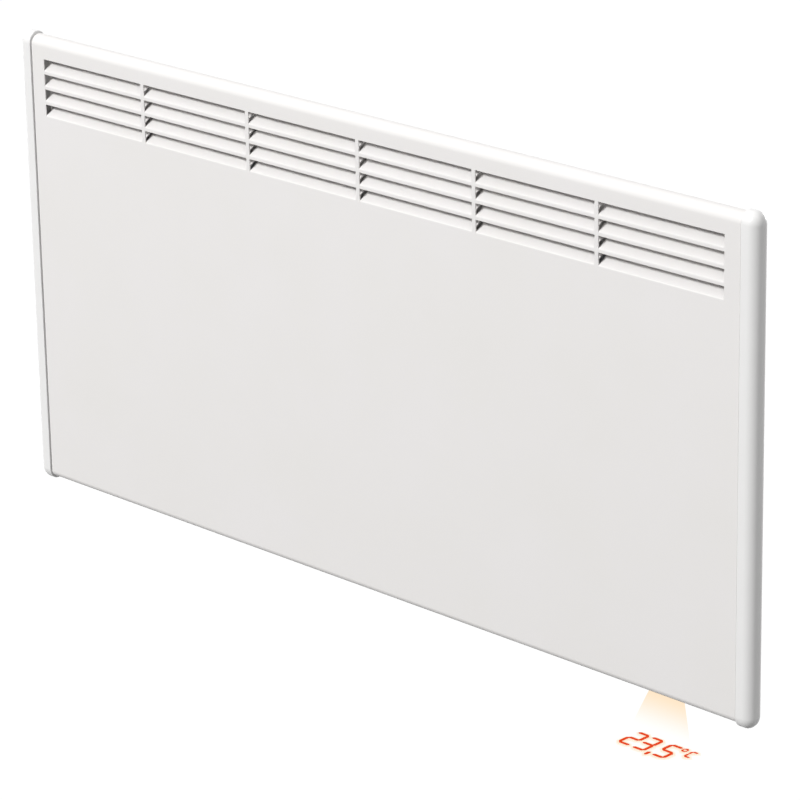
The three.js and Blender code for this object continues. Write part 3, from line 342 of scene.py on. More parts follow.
def zinc(name):
    """Zinc plate: a faint spangle, drawn-out rolling lines and dull patches."""
    finish = Finish(name, metallic=1.0)
    finish.colour(finish.cells(7 * MM), (0.50, 0.51, 0.53), (0.60, 0.61, 0.62), 0.0, 1.0)
    finish.rough(finish.noise(9 * MM, 4), 0.32, 0.48)
    finish.bumpy(finish.noise(0.8 * MM, 2, along=(0.08, 1, 1)), 0.004 * MM)
    return finish.material


def metal(name, first, second, roughness, along=(1, 1, 1), lines=0.6 * MM):
    finish = Finish(name, metallic=1.0)
    finish.colour(finish.noise(12 * MM, 3), first, second)
    finish.rough(finish.noise(5 * MM, 3), *roughness)
    finish.bumpy(finish.noise(lines, 2, along=along), 0.005 * MM)
    return finish.material


def clear(name):
    finish = Finish(name)
    finish.set("Transmission Weight", 1.0).set("IOR", 1.49)
    finish.set("Base Color", (0.93, 0.94, 0.93, 1))
    finish.rough(finish.noise(6 * MM, 2), 0.03, 0.08)
    return finish.material


def glowing(name, colour, strength):
    finish = Finish(name, roughness=0.4)
    finish.set("Base Color", (0.05, 0.01, 0.005, 1)).set("Emission Color", (*colour, 1))
    finish.tree.links.new(finish.span(finish.noise(1.2 * MM, 2), 0.85 * strength, strength),
                          finish.shader.inputs["Emission Strength"])
    return finish.material


ENAMEL = enamel("enamel", 0.86)
PAN_ENAMEL = enamel("pan_enamel", 0.80, grain=2.2 * MM, peel=0.010 * MM, roughness=(0.42, 0.52))
CAP_PLASTIC = moulded("cap_plastic", (0.885, 0.880, 0.874), (0.872, 0.867, 0.860), (0.34, 0.42))
GREY_PLASTIC = moulded("grey_plastic", (0.62, 0.62, 0.61), (0.58, 0.58, 0.575), (0.45, 0.6))
BUTTON_PLASTIC = moulded("button_plastic", (0.82, 0.82, 0.81), (0.79, 0.79, 0.78), (0.35, 0.45))
BLACK_PLASTIC = moulded("black_plastic", (0.022, 0.022, 0.024), (0.032, 0.032, 0.034), (0.42, 0.6))
ROCKER_PLASTIC = moulded("rocker_plastic", (0.016, 0.016, 0.018), (0.022, 0.022, 0.024), (0.18, 0.28))
RELAY_PLASTIC = moulded("relay_plastic", (0.03, 0.035, 0.05), (0.04, 0.045, 0.06), (0.35, 0.5))
BLOCK_PLASTIC = moulded("block_plastic", (0.14, 0.15, 0.16), (0.17, 0.18, 0.19), (0.45, 0.6))
CIRCUIT = moulded("circuit_board", (0.02, 0.14, 0.05), (0.03, 0.20, 0.08), (0.25, 0.4), grain=1.5 * MM)
RUBBER = moulded("rubber", (0.018, 0.018, 0.018), (0.03, 0.03, 0.03), (0.7, 0.85), depth=0.02 * MM)
CERAMIC = moulded("ceramic", (0.80, 0.76, 0.68), (0.72, 0.68, 0.60), (0.55, 0.75), grain=0.4 * MM)
WIRE_BROWN = moulded("wire_brown", (0.16, 0.06, 0.03), (0.20, 0.08, 0.04), (0.35, 0.5))
WIRE_BLUE = moulded("wire_blue", (0.03, 0.10, 0.35), (0.04, 0.14, 0.42), (0.35, 0.5))
WIRE_GREY = moulded("wire_grey", (0.35, 0.35, 0.35), (0.42, 0.42, 0.42), (0.35, 0.5))
MARK_WHITE = moulded("mark_white", (0.80, 0.80, 0.79), (0.74, 0.74, 0.73), (0.4, 0.5))
MARK_GREY = moulded("mark_grey", (0.14, 0.14, 0.145), (0.18, 0.18, 0.185), (0.45, 0.55))
ZINC = zinc("zinc_steel")
SHEATH = metal("sheath_steel", (0.26, 0.22, 0.19), (0.38, 0.34, 0.30), (0.35, 0.5))
ALUMINIUM = metal("aluminium", (0.66, 0.67, 0.68), (0.74, 0.75, 0.76), (0.3, 0.42), along=(0.04, 1, 1))
BRASS = metal("brass", (0.62, 0.45, 0.18), (0.70, 0.53, 0.24), (0.25, 0.4))
CORE = metal("transformer_core", (0.20, 0.15, 0.10), (0.30, 0.24, 0.16), (0.4, 0.6), along=(1, 1, 0.05))
CLEAR = clear("clear_plastic")
GLOW = glowing("display_glow", (1.0, 0.10, 0.02), 3.0)


def earth_wire():
    """Green insulation with a yellow stripe, wound slowly along the wire."""
    finish = Finish("wire_earth")
    wave = finish.tree.nodes.new("ShaderNodeTexWave")
    wave.inputs["Scale"].default_value = 1 / (5 * MM)
    finish.tree.links.new(finish.place, wave.inputs["Vector"])
    finish.colour(wave.outputs["Fac"], (0.05, 0.28, 0.04), (0.72, 0.60, 0.03), 0.45, 0.55)
    return finish.rough(finish.noise(3 * MM), 0.35, 0.5).material


WIRE_EARTH = earth_wire()

SLOT_FINISH = {
    "enamel": ENAMEL, "pan_enamel": PAN_ENAMEL, "cap_plastic": CAP_PLASTIC, "grey_plastic": GREY_PLASTIC,
    "button_plastic": BUTTON_PLASTIC, "black_plastic": BLACK_PLASTIC, "rocker_plastic": ROCKER_PLASTIC,
    "relay_plastic": RELAY_PLASTIC, "block_plastic": BLOCK_PLASTIC, "clear_plastic": CLEAR,
    "circuit_board": CIRCUIT, "transformer_core": CORE, "zinc_steel": ZINC, "sheath_steel": SHEATH,
    "aluminium": ALUMINIUM, "brass": BRASS, "ceramic": CERAMIC, "rubber": RUBBER, "wire_brown": WIRE_BROWN,
    "wire_blue": WIRE_BLUE, "wire_earth": WIRE_EARTH, "wire_grey": WIRE_GREY,
}


def paint(piece, material):
    piece.data.materials.clear()
    piece.data.materials.append(material)
    return piece


# ---------------------------------------------------------------- front cover
def cover_rows():
    """The cover's outer surface as (y, z) points, from the rear top lip round the front to the lower lip."""
    front, back = COVER_LOW.y, COVER_HIGH.y
    bottom, top = COVER_LOW.z, COVER_HIGH.z
    rows = [(back, top - ROLL_RADIUS - LIP_HEIGHT)]
    rows += arc(front + ROLL_RADIUS, top - ROLL_RADIUS, ROLL_RADIUS, 0, 180, 28)
    for row in range(GRILLE_ROWS):
        lip = top - GRILLE_DROP - row * (OPENING_HEIGHT + STRIP_HEIGHT)
        rows += [(front, lip), (front, lip - OPENING_HEIGHT - bend_drop())]
    rows += arc(front + FOLD_RADIUS, bottom + FOLD_RADIUS, FOLD_RADIUS, 180, 270, 12)
    rows += arc(back - HEM_RADIUS, bottom + HEM_RADIUS, HEM_RADIUS, 270, 360, 8)
    rows.append((back, bottom + HEM_RADIUS + LIP_HEIGHT))
    return rows


def blade_turn():
    """The angle that a blade is bent through, from upright."""
    return math.atan2(BLADE_REACH, BLADE_RISE)


def bend_drop():
    """How far below an opening its blade starts to bend."""
    return BLADE_BEND * math.tan(blade_turn() / 2)


def cover_columns():
    width = GRILLE_COLUMNS * OPENING_WIDTH + (GRILLE_COLUMNS - 1) * RIB_WIDTH
    columns = [COVER_LOW.x]
    for column in range(GRILLE_COLUMNS):
        left = -width / 2 + column * (OPENING_WIDTH + RIB_WIDTH)
        columns += [left, left + OPENING_WIDTH]
    return columns + [COVER_HIGH.x]


def add_blade(bm, left, right):
    """Bends a blade inwards from the two corners of its fold line."""
    turn = blade_turn()
    fold_z = left.co.z
    path = []
    for i in range(1, BLADE_STEPS + 1):
        angle = turn * i / BLADE_STEPS
        y = COVER_LOW.y + BLADE_BEND * (1 - math.cos(angle))
        path.append((y, fold_z + BLADE_BEND * math.sin(angle)))
    path.append((COVER_LOW.y + BLADE_REACH, fold_z + bend_drop() + BLADE_RISE))
    before = (left, right)
    for y, z in path:
        after = (bm.verts.new((left.co.x, y, z)), bm.verts.new((right.co.x, y, z)))
        bm.faces.new((before[0], before[1], after[1], after[0]))
        before = after


def front_cover():
    """One sheet: the panel with its rolled top, its folds and its blades, then given its thickness."""
    bm = bmesh.new()
    rows = cover_rows()
    columns = cover_columns()
    grid = [[bm.verts.new((x, y, z)) for x in columns] for y, z in rows]
    first = next(i for i, (y, z) in enumerate(rows) if abs(z - (COVER_HIGH.z - GRILLE_DROP)) < SAME_HEIGHT)
    for i in range(len(rows) - 1):
        row = i - first
        in_opening = 0 <= row < 2 * GRILLE_ROWS and row % 2 == 0
        for j in range(len(columns) - 1):
            if in_opening and j % 2 == 1:
                add_blade(bm, grid[i + 1][j], grid[i + 1][j + 1])
            else:
                bm.faces.new((grid[i][j], grid[i + 1][j], grid[i + 1][j + 1], grid[i][j + 1]))
    bmesh.ops.recalc_face_normals(bm, faces=bm.faces)
    bm.faces.ensure_lookup_table()
    front = max(bm.faces, key=lambda face: face.calc_area())
    if front.normal.y > 0:
        bmesh.ops.reverse_faces(bm, faces=bm.faces)
    piece = from_bmesh("front_cover_sheet", bm)
    thicken(piece)
    bevel(piece, COVER_EDGE, 2, 50)
    paint(piece, ENAMEL)
    return stand_for(piece, "heater", "enamel", "front_cover")


# ---------------------------------------------------------------- end caps
def rounded_block(name, low, high, across, rise, steps):
    """A block with elliptical corners: across, seen from above, by rise, seen from the side."""
    size = high - low
    bm = bmesh.new()
    bmesh.ops.create_cube(bm, size=1)
    bmesh.ops.scale(bm, vec=(size.x / across, size.y / across, size.z / rise), verts=bm.verts)
    bmesh.ops.bevel(bm, geom=bm.edges[:], offset=1, segments=steps, profile=0.5, affect="EDGES")
    bmesh.ops.scale(bm, vec=(across, across, rise), verts=bm.verts)
    bmesh.ops.translate(bm, vec=(low + high) / 2, verts=bm.verts)
    return from_bmesh(name, bm)


def end_cap(word, side):
    """The moulded cap, closed at its seam, with the register that enters the cover."""
    low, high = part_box(f"end_cap_{word}")
    seam = side * (COVER_HIGH.x + SEAM_GAP)
    outer = max(side * low.x, side * high.x)
    length = outer - COVER_HIGH.x
    block_low = Vector((outer - 3 * length, low.y, low.z))
    block_high = Vector((outer, high.y, high.z))
    if side < 0:
        block_low.x, block_high.x = -block_high.x, -block_low.x
    piece = rounded_block(f"end_cap_{word}_shell", block_low, block_high, CAP_RADIUS, CAP_RISE, 14)
    bm = bmesh.new()
    bm.from_mesh(piece.data)
    cut = bmesh.ops.bisect_plane(bm, geom=bm.verts[:] + bm.edges[:] + bm.faces[:], plane_co=(seam, 0, 0),
                                 plane_no=(-side, 0, 0), clear_outer=True)
    rim = [item for item in cut["geom_cut"] if isinstance(item, bmesh.types.BMEdge)]
    bmesh.ops.edgeloop_fill(bm, edges=rim)
    bmesh.ops.recalc_face_normals(bm, faces=bm.faces)
    bm.to_mesh(piece.data)
    bm.free()
    bevel(piece, CAP_EDGE, 3, 50)
    roll, fold, hem = (radius - REGISTER_INSET for radius in (ROLL_RADIUS, FOLD_RADIUS, HEM_RADIUS))
    outline = arc(COVER_LOW.y + ROLL_RADIUS, COVER_HIGH.z - ROLL_RADIUS, roll, 0, 180, 16)
    outline += arc(COVER_LOW.y + FOLD_RADIUS, COVER_LOW.z + FOLD_RADIUS, fold, 180, 270, 8)
    outline += arc(COVER_HIGH.y - HEM_RADIUS, COVER_LOW.z + HEM_RADIUS, hem, 270, 360, 6)
    ends = sorted((seam - side * PLUG_LENGTH, seam + side * 2 * SHEET))
    combine(piece, prism("register", outline, "x", *ends), "UNION")
    paint(piece, CAP_PLASTIC)
    return stand_for(piece, "heater", "cap_plastic", f"end_cap_{word}")


# ---------------------------------------------------------------- rear pan
PAN_BEND = 2.6 * MM
PAN_DRAW = 40.0 * MM
PAN_TOP_FALL = 33.0 * MM
PAN_REAR = -20.0 * MM
SIDE_FLANGE = 15.0 * MM
TOP_FLANGE = 15.8 * MM
HOOK_HALF_WIDTH = 19.0 * MM
HOOK_SLOT = (100.45 * MM, 120.45 * MM)
UPRIGHT_X = 200.0 * MM
SCREW_HOLE = 1.8 * MM
FLOOR_LIP = 8.0 * MM
PAN_EDGE = 0.12 * MM


def pan_sheet():
    """The pan's outer face without its floor: a flange, three leaning walls and the rear wall."""
    low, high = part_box("rear_pan")
    flange_y = low.y + SHEET
    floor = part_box("pan_floor")[1].z - FLOOR_LIP + CLEARANCE
    share = SHEET / (PAN_REAR - low.y)
    mouth_x = high.x - SIDE_FLANGE
    mouth_z = high.z - TOP_FLANGE
    near_x = mouth_x - PAN_DRAW * share
    near_z = mouth_z - PAN_TOP_FALL * share
    rear_x, rear_z = mouth_x - PAN_DRAW, mouth_z - PAN_TOP_FALL
    bm = bmesh.new()
    spot = lambda x, y, z: bm.verts.new((x, y, z))
    for side in (-1, 1):
        outer = [spot(side * high.x, flange_y, z) for z in (low.z, floor, near_z, high.z)]
        inner = [spot(side * near_x, flange_y, z) for z in (low.z, floor, near_z)]
        rear = [spot(side * rear_x, PAN_REAR, z) for z in (floor, rear_z)]
        foot = [spot(side * (mouth_x + CLEARANCE), flange_y, z) for z in (low.z, floor)]
        bm.faces.new((outer[0], foot[0], foot[1], outer[1]))
        bm.faces.new((outer[1], foot[1], inner[1], inner[2], outer[2]))
        bm.faces.new((inner[1], inner[2], rear[1], rear[0]))
        if side < 0:
            first = (outer, inner, rear)
        bm.verts.remove(inner[0])
    (outer_l, inner_l, rear_l), (outer_r, inner_r, rear_r) = first, (outer, inner, rear)
    bm.faces.new((outer_l[2], inner_l[2], inner_r[2], outer_r[2], outer_r[3], outer_l[3]))
    bm.faces.new((inner_l[2], inner_r[2], rear_r[1], rear_l[1]))
    bm.faces.new((rear_l[0], rear_l[1], rear_r[1], rear_r[0]))
    bmesh.ops.recalc_face_normals(bm, faces=bm.faces)
    if max(bm.faces, key=lambda face: face.calc_area()).normal.y < 0:
        bmesh.ops.reverse_faces(bm, faces=bm.faces)
    return from_bmesh("rear_pan_sheet", bm)


def rear_pan():
    piece = pan_sheet()
    bend = piece.modifiers.new("bend", "BEVEL")
    bend.width = PAN_BEND
    bend.segments = 5
    bend.limit_method = "ANGLE"
    bend.angle_limit = math.radians(20)
    thicken(piece)
    settle(piece)
    for side in (-1, 1):
        x = side * UPRIGHT_X
        left, right = x - HOOK_HALF_WIDTH, x + HOOK_HALF_WIDTH
        below, above = HOOK_SLOT
        outline = [(left, below), (right, below), (right, above), (left, above)]
        combine(piece, prism("slot", outline, "y", PAN_REAR - 3 * SHEET, PAN_REAR + SHEET), "DIFFERENCE")
    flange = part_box("rear_pan")[0].y
    for node in sorted(NODES):
        if node.startswith("case_screw"):
            middle = centre(node)
            hole = ring(middle.x, middle.z, SCREW_HOLE, HOLE_SIDES)
            combine(piece, prism("hole", hole, "y", flange - SHEET, flange + 2 * SHEET), "DIFFERENCE")
    earth = centre("earth_screw")
    hole = ring(earth.x, earth.z, SCREW_HOLE, HOLE_SIDES)
    combine(piece, prism("hole", hole, "y", PAN_REAR - 3 * SHEET, PAN_REAR + SHEET), "DIFFERENCE")
    bevel(piece, PAN_EDGE, 1, 50)
    paint(piece, PAN_ENAMEL)
    return stand_for(piece, "heater", "pan_enamel", "rear_pan")


# ---------------------------------------------------------------- screws, gland, buttons
SCREW_HEAD = 2.2 * MM
SCREW_RADIUS = 1.5 * MM
SCREW_HEAD_RADIUS = 3.1 * MM
CROSS_REACH = 1.75 * MM
CROSS_WIDTH = 0.42 * MM
CROSS_DEPTH = 1.3 * MM
SCREW_EDGE = 0.06 * MM
HEAD_SHAPE = ((0.96, 0), (1, 0.05), (1, 0.42), (0.95, 0.64), (0.82, 0.84), (0.6, 0.96), (0.3, 1), (0, 1))


def screw(node, direction, slot):
    """A pan-head screw with a cross recess, its head at that end of the solid."""
    low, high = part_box(node)
    direction = Vector(direction)
    length = abs((high - low).dot(direction)) - SCREW_HEAD
    radius, head = SCREW_RADIUS, SCREW_HEAD_RADIUS
    profile = [(0, -length), (radius * 0.75, -length), (radius, -length + radius * 0.5), (radius, 0)]
    profile += [(head * out, up * SCREW_HEAD) for out, up in HEAD_SHAPE]
    piece = lathe(node + "_turned", profile, 32)
    arm, half = CROSS_REACH, CROSS_WIDTH
    quarter = [(half, half), (half, arm), (-half, arm), (-half, half)]
    cross = []
    for turn in range(4):
        for u, v in quarter[:3]:
            for _ in range(turn):
                u, v = -v, u
            cross.append((u, v))
    combine(piece, prism("cross", cross, "z", SCREW_HEAD - CROSS_DEPTH, 2 * SCREW_HEAD), "DIFFERENCE")
    bevel(piece, SCREW_EDGE, 1, 50)
    middle = (low + high) / 2
    seat = middle + direction * (abs((high - low).dot(direction)) / 2 - SCREW_HEAD)
    put(piece, seat, direction)
    paint(piece, SLOT_FINISH[slot])
    return stand_for(piece, "heater", slot, node)


GLAND_HEX = 9.0 * MM
GLAND_HEX_HEIGHT = 5.0 * MM
GLAND_DOME_HEIGHT = 6.0 * MM
GLAND_NECK = 6.0 * MM
GLAND_BORE = 4.2 * MM
GLAND_NOSE = 0.62
GLAND_SWELL = 0.22
GLAND_SHOULDER = 0.84
GLAND_HEX_EDGE = 0.5 * MM
GLAND_EDGE = 0.2 * MM


def cable_gland():
    """The gland's hexagon, domed cap and neck, bored through."""
    low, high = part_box("cable_gland")
    x, y = (low.x + high.x) / 2, (low.y + high.y) / 2
    hex_low = low.z + GLAND_DOME_HEIGHT
    dome = [(0, 0), (GLAND_NOSE * GLAND_HEX, 0)]
    for t in (math.radians(angle) for angle in (18, 36, 54, 72, 90)):
        radius = GLAND_HEX * (GLAND_NOSE + GLAND_SWELL * math.sin(t))
        dome.append((radius, GLAND_DOME_HEIGHT * (1 - math.cos(t))))
    neck = hex_low + GLAND_HEX_HEIGHT / 2 - low.z
    dome += [(GLAND_SHOULDER * GLAND_HEX, neck), (GLAND_NECK, neck)]
    dome += [(GLAND_NECK, high.z - low.z), (0, high.z - low.z)]
    piece = put(lathe("cable_gland_turned", dome), (x, y, low.z), (0, 0, 1))
    hexagon = prism("hexagon", ring(x, y, GLAND_HEX, 6), "z", hex_low, hex_low + GLAND_HEX_HEIGHT)
    bevel(hexagon, GLAND_HEX_EDGE, 3, 30)
    combine(piece, hexagon, "UNION")
    bore = prism("bore", ring(x, y, GLAND_BORE, 40), "z", low.z - SHEET, high.z + SHEET)
    combine(piece, bore, "DIFFERENCE")
    bevel(piece, GLAND_EDGE, 2, 40)
    paint(piece, BLACK_PLASTIC)
    return stand_for(piece, "heater", "black_plastic", "cable_gland")


BUTTON_RADIUS = 4.5 * MM
BUTTON_EDGE = 0.9 * MM
BUTTON_STEM = 1.5 * MM
BUTTON_FLANGE = (5.6 * MM, 3.0 * MM, 4.0 * MM)
MARK_PROUD = 0.05 * MM
MARK_SUNK = 0.15 * MM
BUTTON_DISH = ((0, 0.25 * MM), (0.3, 0.2 * MM), (0.6, 0.04 * MM))
BUTTON_SOFTNESS = 0.1 * MM
MARK_DEPTH = 0.2 * MM
BUTTON_BAR = (1.9, 0.6)
BUTTON_RING = (1.9, 0.55)


def button(node, outlines):
    """A dished button with its collar and stem, and a plain printed sign."""
    low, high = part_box(node)
    middle = centre(node)
    collar, collar_low, collar_high = BUTTON_FLANGE
    face = [(BUTTON_RADIUS * out, depth) for out, depth in BUTTON_DISH]
    rim = arc(BUTTON_RADIUS - BUTTON_EDGE, BUTTON_EDGE, BUTTON_EDGE, -90, 0, 6)
    back = [(BUTTON_RADIUS, collar_low), (collar, collar_low), (collar, collar_high)]
    back += [(BUTTON_STEM, collar_high), (BUTTON_STEM, high.z - low.z), (0, high.z - low.z)]
    piece = put(lathe(node + "_turned", face + rim + back), (middle.x, middle.y, low.z), (0, 0, 1))
    bevel(piece, BUTTON_SOFTNESS, 2, 50)
    paint(piece, BUTTON_PLASTIC)
    stand_for(piece, node, "button_plastic", node)
    level = low.z + MARK_DEPTH
    for i, outline in enumerate(outlines):
        shifted = [(middle.x + u * MM, middle.y + v * MM) for u, v in outline]
        mark = prism(f"{node}_mark_{i}", shifted, "z", level - MARK_SUNK, level + MARK_SUNK)
        paint(mark, MARK_GREY)
        stand_for(mark, node, "button_plastic")


def ring_mark(radius, stroke):
    """A ring as four closed quarters."""
    quarters = []
    for start in (0, 90, 180, 270):
        outer = arc(0, 0, radius, start, start + 90, 8)
        inner = arc(0, 0, radius - stroke, start + 90, start, 8)
        quarters.append(outer + inner)
    return quarters


def bar_mark(half, stroke):
    return [(-half, -stroke / 2), (half, -stroke / 2), (half, stroke / 2), (-half, stroke / 2)]


def upright(outline):
    return [(v, u) for u, v in outline]


ROCKER_TILT = 9
ROCKER_FACE = 12.87
ROCKER_BAR = (1.8, 0.7)
ROCKER_RING = (1.8, 0.6)
ROCKER_MARK = Vector((3.5, 0, -3.4)) * MM


def rocker_marks():
    """A line and a ring, printed on the two halves of the rocker."""
    pivot = next(Vector(joint["pos_m"]) for joint in frame["joints"] if joint["name"] == "rocker_tip")
    signs = ((-1, "line", [upright(bar_mark(*ROCKER_BAR))]), (1, "ring", ring_mark(*ROCKER_RING)))
    for side, word, outlines in signs:
        place = Matrix.Translation(pivot) @ Matrix.Rotation(math.radians(ROCKER_TILT), 4, "Y")
        place = place @ Matrix.Translation((side * ROCKER_MARK.x, 0, ROCKER_MARK.z))
        place = place @ Matrix.Rotation(math.radians(side * ROCKER_FACE), 4, "Y")
        for i, outline in enumerate(outlines):
            flat = [(u * MM, v * MM) for u, v in outline]
            mark = prism(f"power_rocker_mark_{word}_{i}", flat, "z", -MARK_PROUD, MARK_SUNK)
            mark.data.transform(place)
            paint(mark, MARK_WHITE)
            stand_for(mark, "power_rocker", "rocker_plastic")


# ---------------------------------------------------------------- everything else, from the solids
def body_of(node):
    bodies = frame["record"]["behaviour"]["bodies"]
    return next(body for body, nodes in bodies.items() if node in nodes)


EDGES = {
    "control_housing": 0.35, "control_lid": 0.4, "rubber_buffer_left": 0.8, "rubber_buffer_right": 0.8,
    "power_rocker": 0.5, "power_switch": 0.35, "bracket_rail": 0.3, "bracket_upright_left": 0.3,
    "bracket_upright_right": 0.3, "heat_shield": 0.2, "gland_nut": 0.4, "projection_window": 0.25,
}
PLAIN_EDGE = 0.15
WIRE_SHARP = 50


def dress_the_rest():
    """Each solid that has no piece of its own yet gets a finished copy, its edges rounded by its kind."""
    done = {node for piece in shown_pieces() for node in piece.get("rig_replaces", [])}
    for node in sorted(set(NODES) - done):
        if node.startswith("wire_"):
            paint(NODES[node], SLOT_FINISH[SLOTS[node]])
            NODES[node].data.shade_smooth()
            NODES[node].data.set_sharp_from_angle(angle=math.radians(WIRE_SHARP))
            continue
        piece = finished(node, body_of(node), EDGES.get(node, PLAIN_EDGE) * MM)
        paint(piece, SLOT_FINISH[SLOTS[node]])


# ---------------------------------------------------------------- camera, lamps and studio
CAMERA_PLACE = Vector((2.1420, -2.1640, 1.0193))
CAMERA_AZIMUTH = 45.2216
CAMERA_ELEVATION = 19.4415
CAMERA_ROLL = -1.0247
CAMERA_LENS = 180.2
SENSOR_WIDTH = 36.0


def add_camera():
    data = bpy.data.cameras.new("camera")
    data.lens = CAMERA_LENS
    data.sensor_width = SENSOR_WIDTH
    data.clip_end = 50
    camera = bpy.data.objects.new("camera", data)
    bpy.context.scene.collection.objects.link(camera)
    camera.location = CAMERA_PLACE
    turn = Matrix.Rotation(math.radians(CAMERA_AZIMUTH), 4, "Z")
    tilt = Matrix.Rotation(math.radians(90 - CAMERA_ELEVATION), 4, "X")
    roll = Matrix.Rotation(math.radians(CAMERA_ROLL), 4, "Z")
    camera.rotation_euler = (turn @ tilt @ roll).to_euler()
    bpy.context.scene.camera = camera


def add_lamp(name, place, target, size, power):
    data = bpy.data.lights.new(name, "AREA")
    data.shape = "DISK"
    data.size = size
    data.energy = power
    lamp = bpy.data.objects.new(name, data)
    bpy.context.scene.collection.objects.link(lamp)
    lamp.location = place
    lamp.rotation_euler = (Vector(target) - Vector(place)).to_track_quat("-Z", "Y").to_euler()
    lamp.visible_camera = False


def add_world():
    """Soft light from all round, strongest from above and the right; white to the camera and in mirrors."""
    world = bpy.data.worlds.new("studio")
    bpy.context.scene.world = world
    world.use_nodes = True
    tree = world.node_tree
    nodes, links = tree.nodes, tree.links
    nodes.clear()
    direction = nodes.new("ShaderNodeTexCoord").outputs["Generated"]
    lean = nodes.new("ShaderNodeVectorMath")
    lean.operation = "DOT_PRODUCT"
    lean.inputs[1].default_value = WORLD_LEAN
    links.new(direction, lean.inputs[0])
    level = nodes.new("ShaderNodeMapRange")
    level.inputs["From Min"].default_value = -1
    level.inputs["From Max"].default_value = 1
    level.inputs["To Min"].default_value = WORLD_DIM
    level.inputs["To Max"].default_value = WORLD_BRIGHT
    links.new(lean.outputs["Value"], level.inputs["Value"])
    soft = nodes.new("ShaderNodeBackground")
    links.new(level.outputs["Result"], soft.inputs["Strength"])
    white = nodes.new("ShaderNodeBackground")
    white.inputs["Strength"].default_value = 1.0
    for background in (soft, white):
        background.inputs["Color"].default_value = (1, 1, 1, 1)
    mix = nodes.new("ShaderNodeMixShader")
    links.new(seen_directly(tree), mix.inputs["Fac"])
    links.new(soft.outputs["Background"], mix.inputs[1])
    links.new(white.outputs["Background"], mix.inputs[2])
    output = nodes.new("ShaderNodeOutputWorld")
    links.new(mix.outputs["Shader"], output.inputs["Surface"])


def seen_directly(tree):
    """1 for rays from the camera, from mirrors and through glass."""
    path = tree.nodes.new("ShaderNodeLightPath")
    total = path.outputs["Is Camera Ray"]
    for name in ("Is Glossy Ray", "Is Transmission Ray"):
        add = tree.nodes.new("ShaderNodeMath")
        add.operation = "ADD"
        add.use_clamp = True
        tree.links.new(total, add.inputs[0])
        tree.links.new(path.outputs[name], add.inputs[1])
        total = add.outputs["Value"]
    return total


WORLD_LEAN = Vector((0.50, 0.0, 0.87)).normalized()
WORLD_DIM = 0.02
WORLD_BRIGHT = 0.72
FLOOR_DROP = 0.62
FLOOR_SIZE = 14.0
FLOOR_TONE = 0.12
FLOOR_LIFT = 0.92
KEY_PLACE = (-1.5, -5.9, 4.3)
KEY_SIZE = 1.5
KEY_POWER = 414
BACK_PLACE = (-0.7, 5.4, 0.35)
BACK_SIZE = 2.0
BACK_POWER = 100


def add_floor():
    """A pale floor well below the heater. It keeps the shadow, and is white where it is seen directly."""
    bm = bmesh.new()
    half = FLOOR_SIZE / 2
    height = CAD_BOX[0].z - FLOOR_DROP
    corners = ((-half, -half), (half, -half), (half, half), (-half, half))
    bm.faces.new([bm.verts.new((x, y, height)) for x, y in corners])
    floor = from_bmesh("floor", bm)
    finish = Finish("floor", roughness=0.9)
    dark = FLOOR_TONE - 0.01
    finish.colour(finish.noise(0.4, 2), (dark, dark, dark), (FLOOR_TONE, FLOOR_TONE, FLOOR_TONE))
    finish.set("Emission Color", (1, 1, 1, 1)).set("Specular IOR Level", 0.0)
    lift = finish.span(seen_directly(finish.tree), 0.0, FLOOR_LIFT, 0, 1)
    finish.tree.links.new(lift, finish.shader.inputs["Emission Strength"])
    paint(floor, finish.material)
    floor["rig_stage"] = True


def add_studio():
    bpy.context.scene.view_settings.view_transform = "Standard"
    add_world()
    add_floor()
    add_lamp("key", KEY_PLACE, (0, 0, 0), KEY_SIZE, KEY_POWER)
    add_lamp("back", BACK_PLACE, (0, 0, 0), BACK_SIZE, BACK_POWER)


# ---------------------------------------------------------------- readout
SEGMENTS = {"2": "abged", "3": "abgcd", "5": "afgcd", "C": "afed", "0": "abcdef"}
DIGIT_WIDTH = 10.4
DIGIT_HEIGHT = 22.7
DIGIT_PITCH = 14.2
POINT_PITCH = 20.1
STROKE = 3.1
BAR_GAP = -0.08
COMMA_PITCH = 16.0
COMMA_SPAN = (-4.9, 1.9)
SMALL_STROKE = STROKE * 0.7
DEGREE_PLACE = (12.0, 19.6)
DEGREE_SIZE = (3.6, 4.4)
LETTER_PLACE = (20.2, 13.4)
LETTER_SIZE = (5.2, 10.3)


def bar(start, end, stroke, grow):
    """A pointed bar from one point to another, widened all round."""
    along = (Vector(end) - Vector(start)).normalized()
    across = Vector((-along.y, along.x)) * (stroke / 2 + grow)
    near = Vector(start) + along * (stroke * BAR_GAP - grow)
    far = Vector(end) - along * (stroke * BAR_GAP - grow)
    tip = along * (stroke / 2 + grow)
    return [near, near + tip + across, far - tip + across, far, far - tip - across, near + tip - across]


def digit_bars(shape, u, v, width, height, stroke, grow):
    """The bars of one sign, its lower left corner at (u, v)."""
    ends = {
        "a": ((0, 1), (1, 1)), "b": ((1, 1), (1, 0.5)), "c": ((1, 0.5), (1, 0)), "d": ((0, 0), (1, 0)),
        "e": ((0, 0.5), (0, 0)), "f": ((0, 1), (0, 0.5)), "g": ((0, 0.5), (1, 0.5)),
    }
    bars = []
    for name in SEGMENTS[shape]:
        (ua, va), (ub, vb) = ends[name]
        bars.append(bar((u + ua * width, v + va * height), (u + ub * width, v + vb * height), stroke, grow))
    return bars


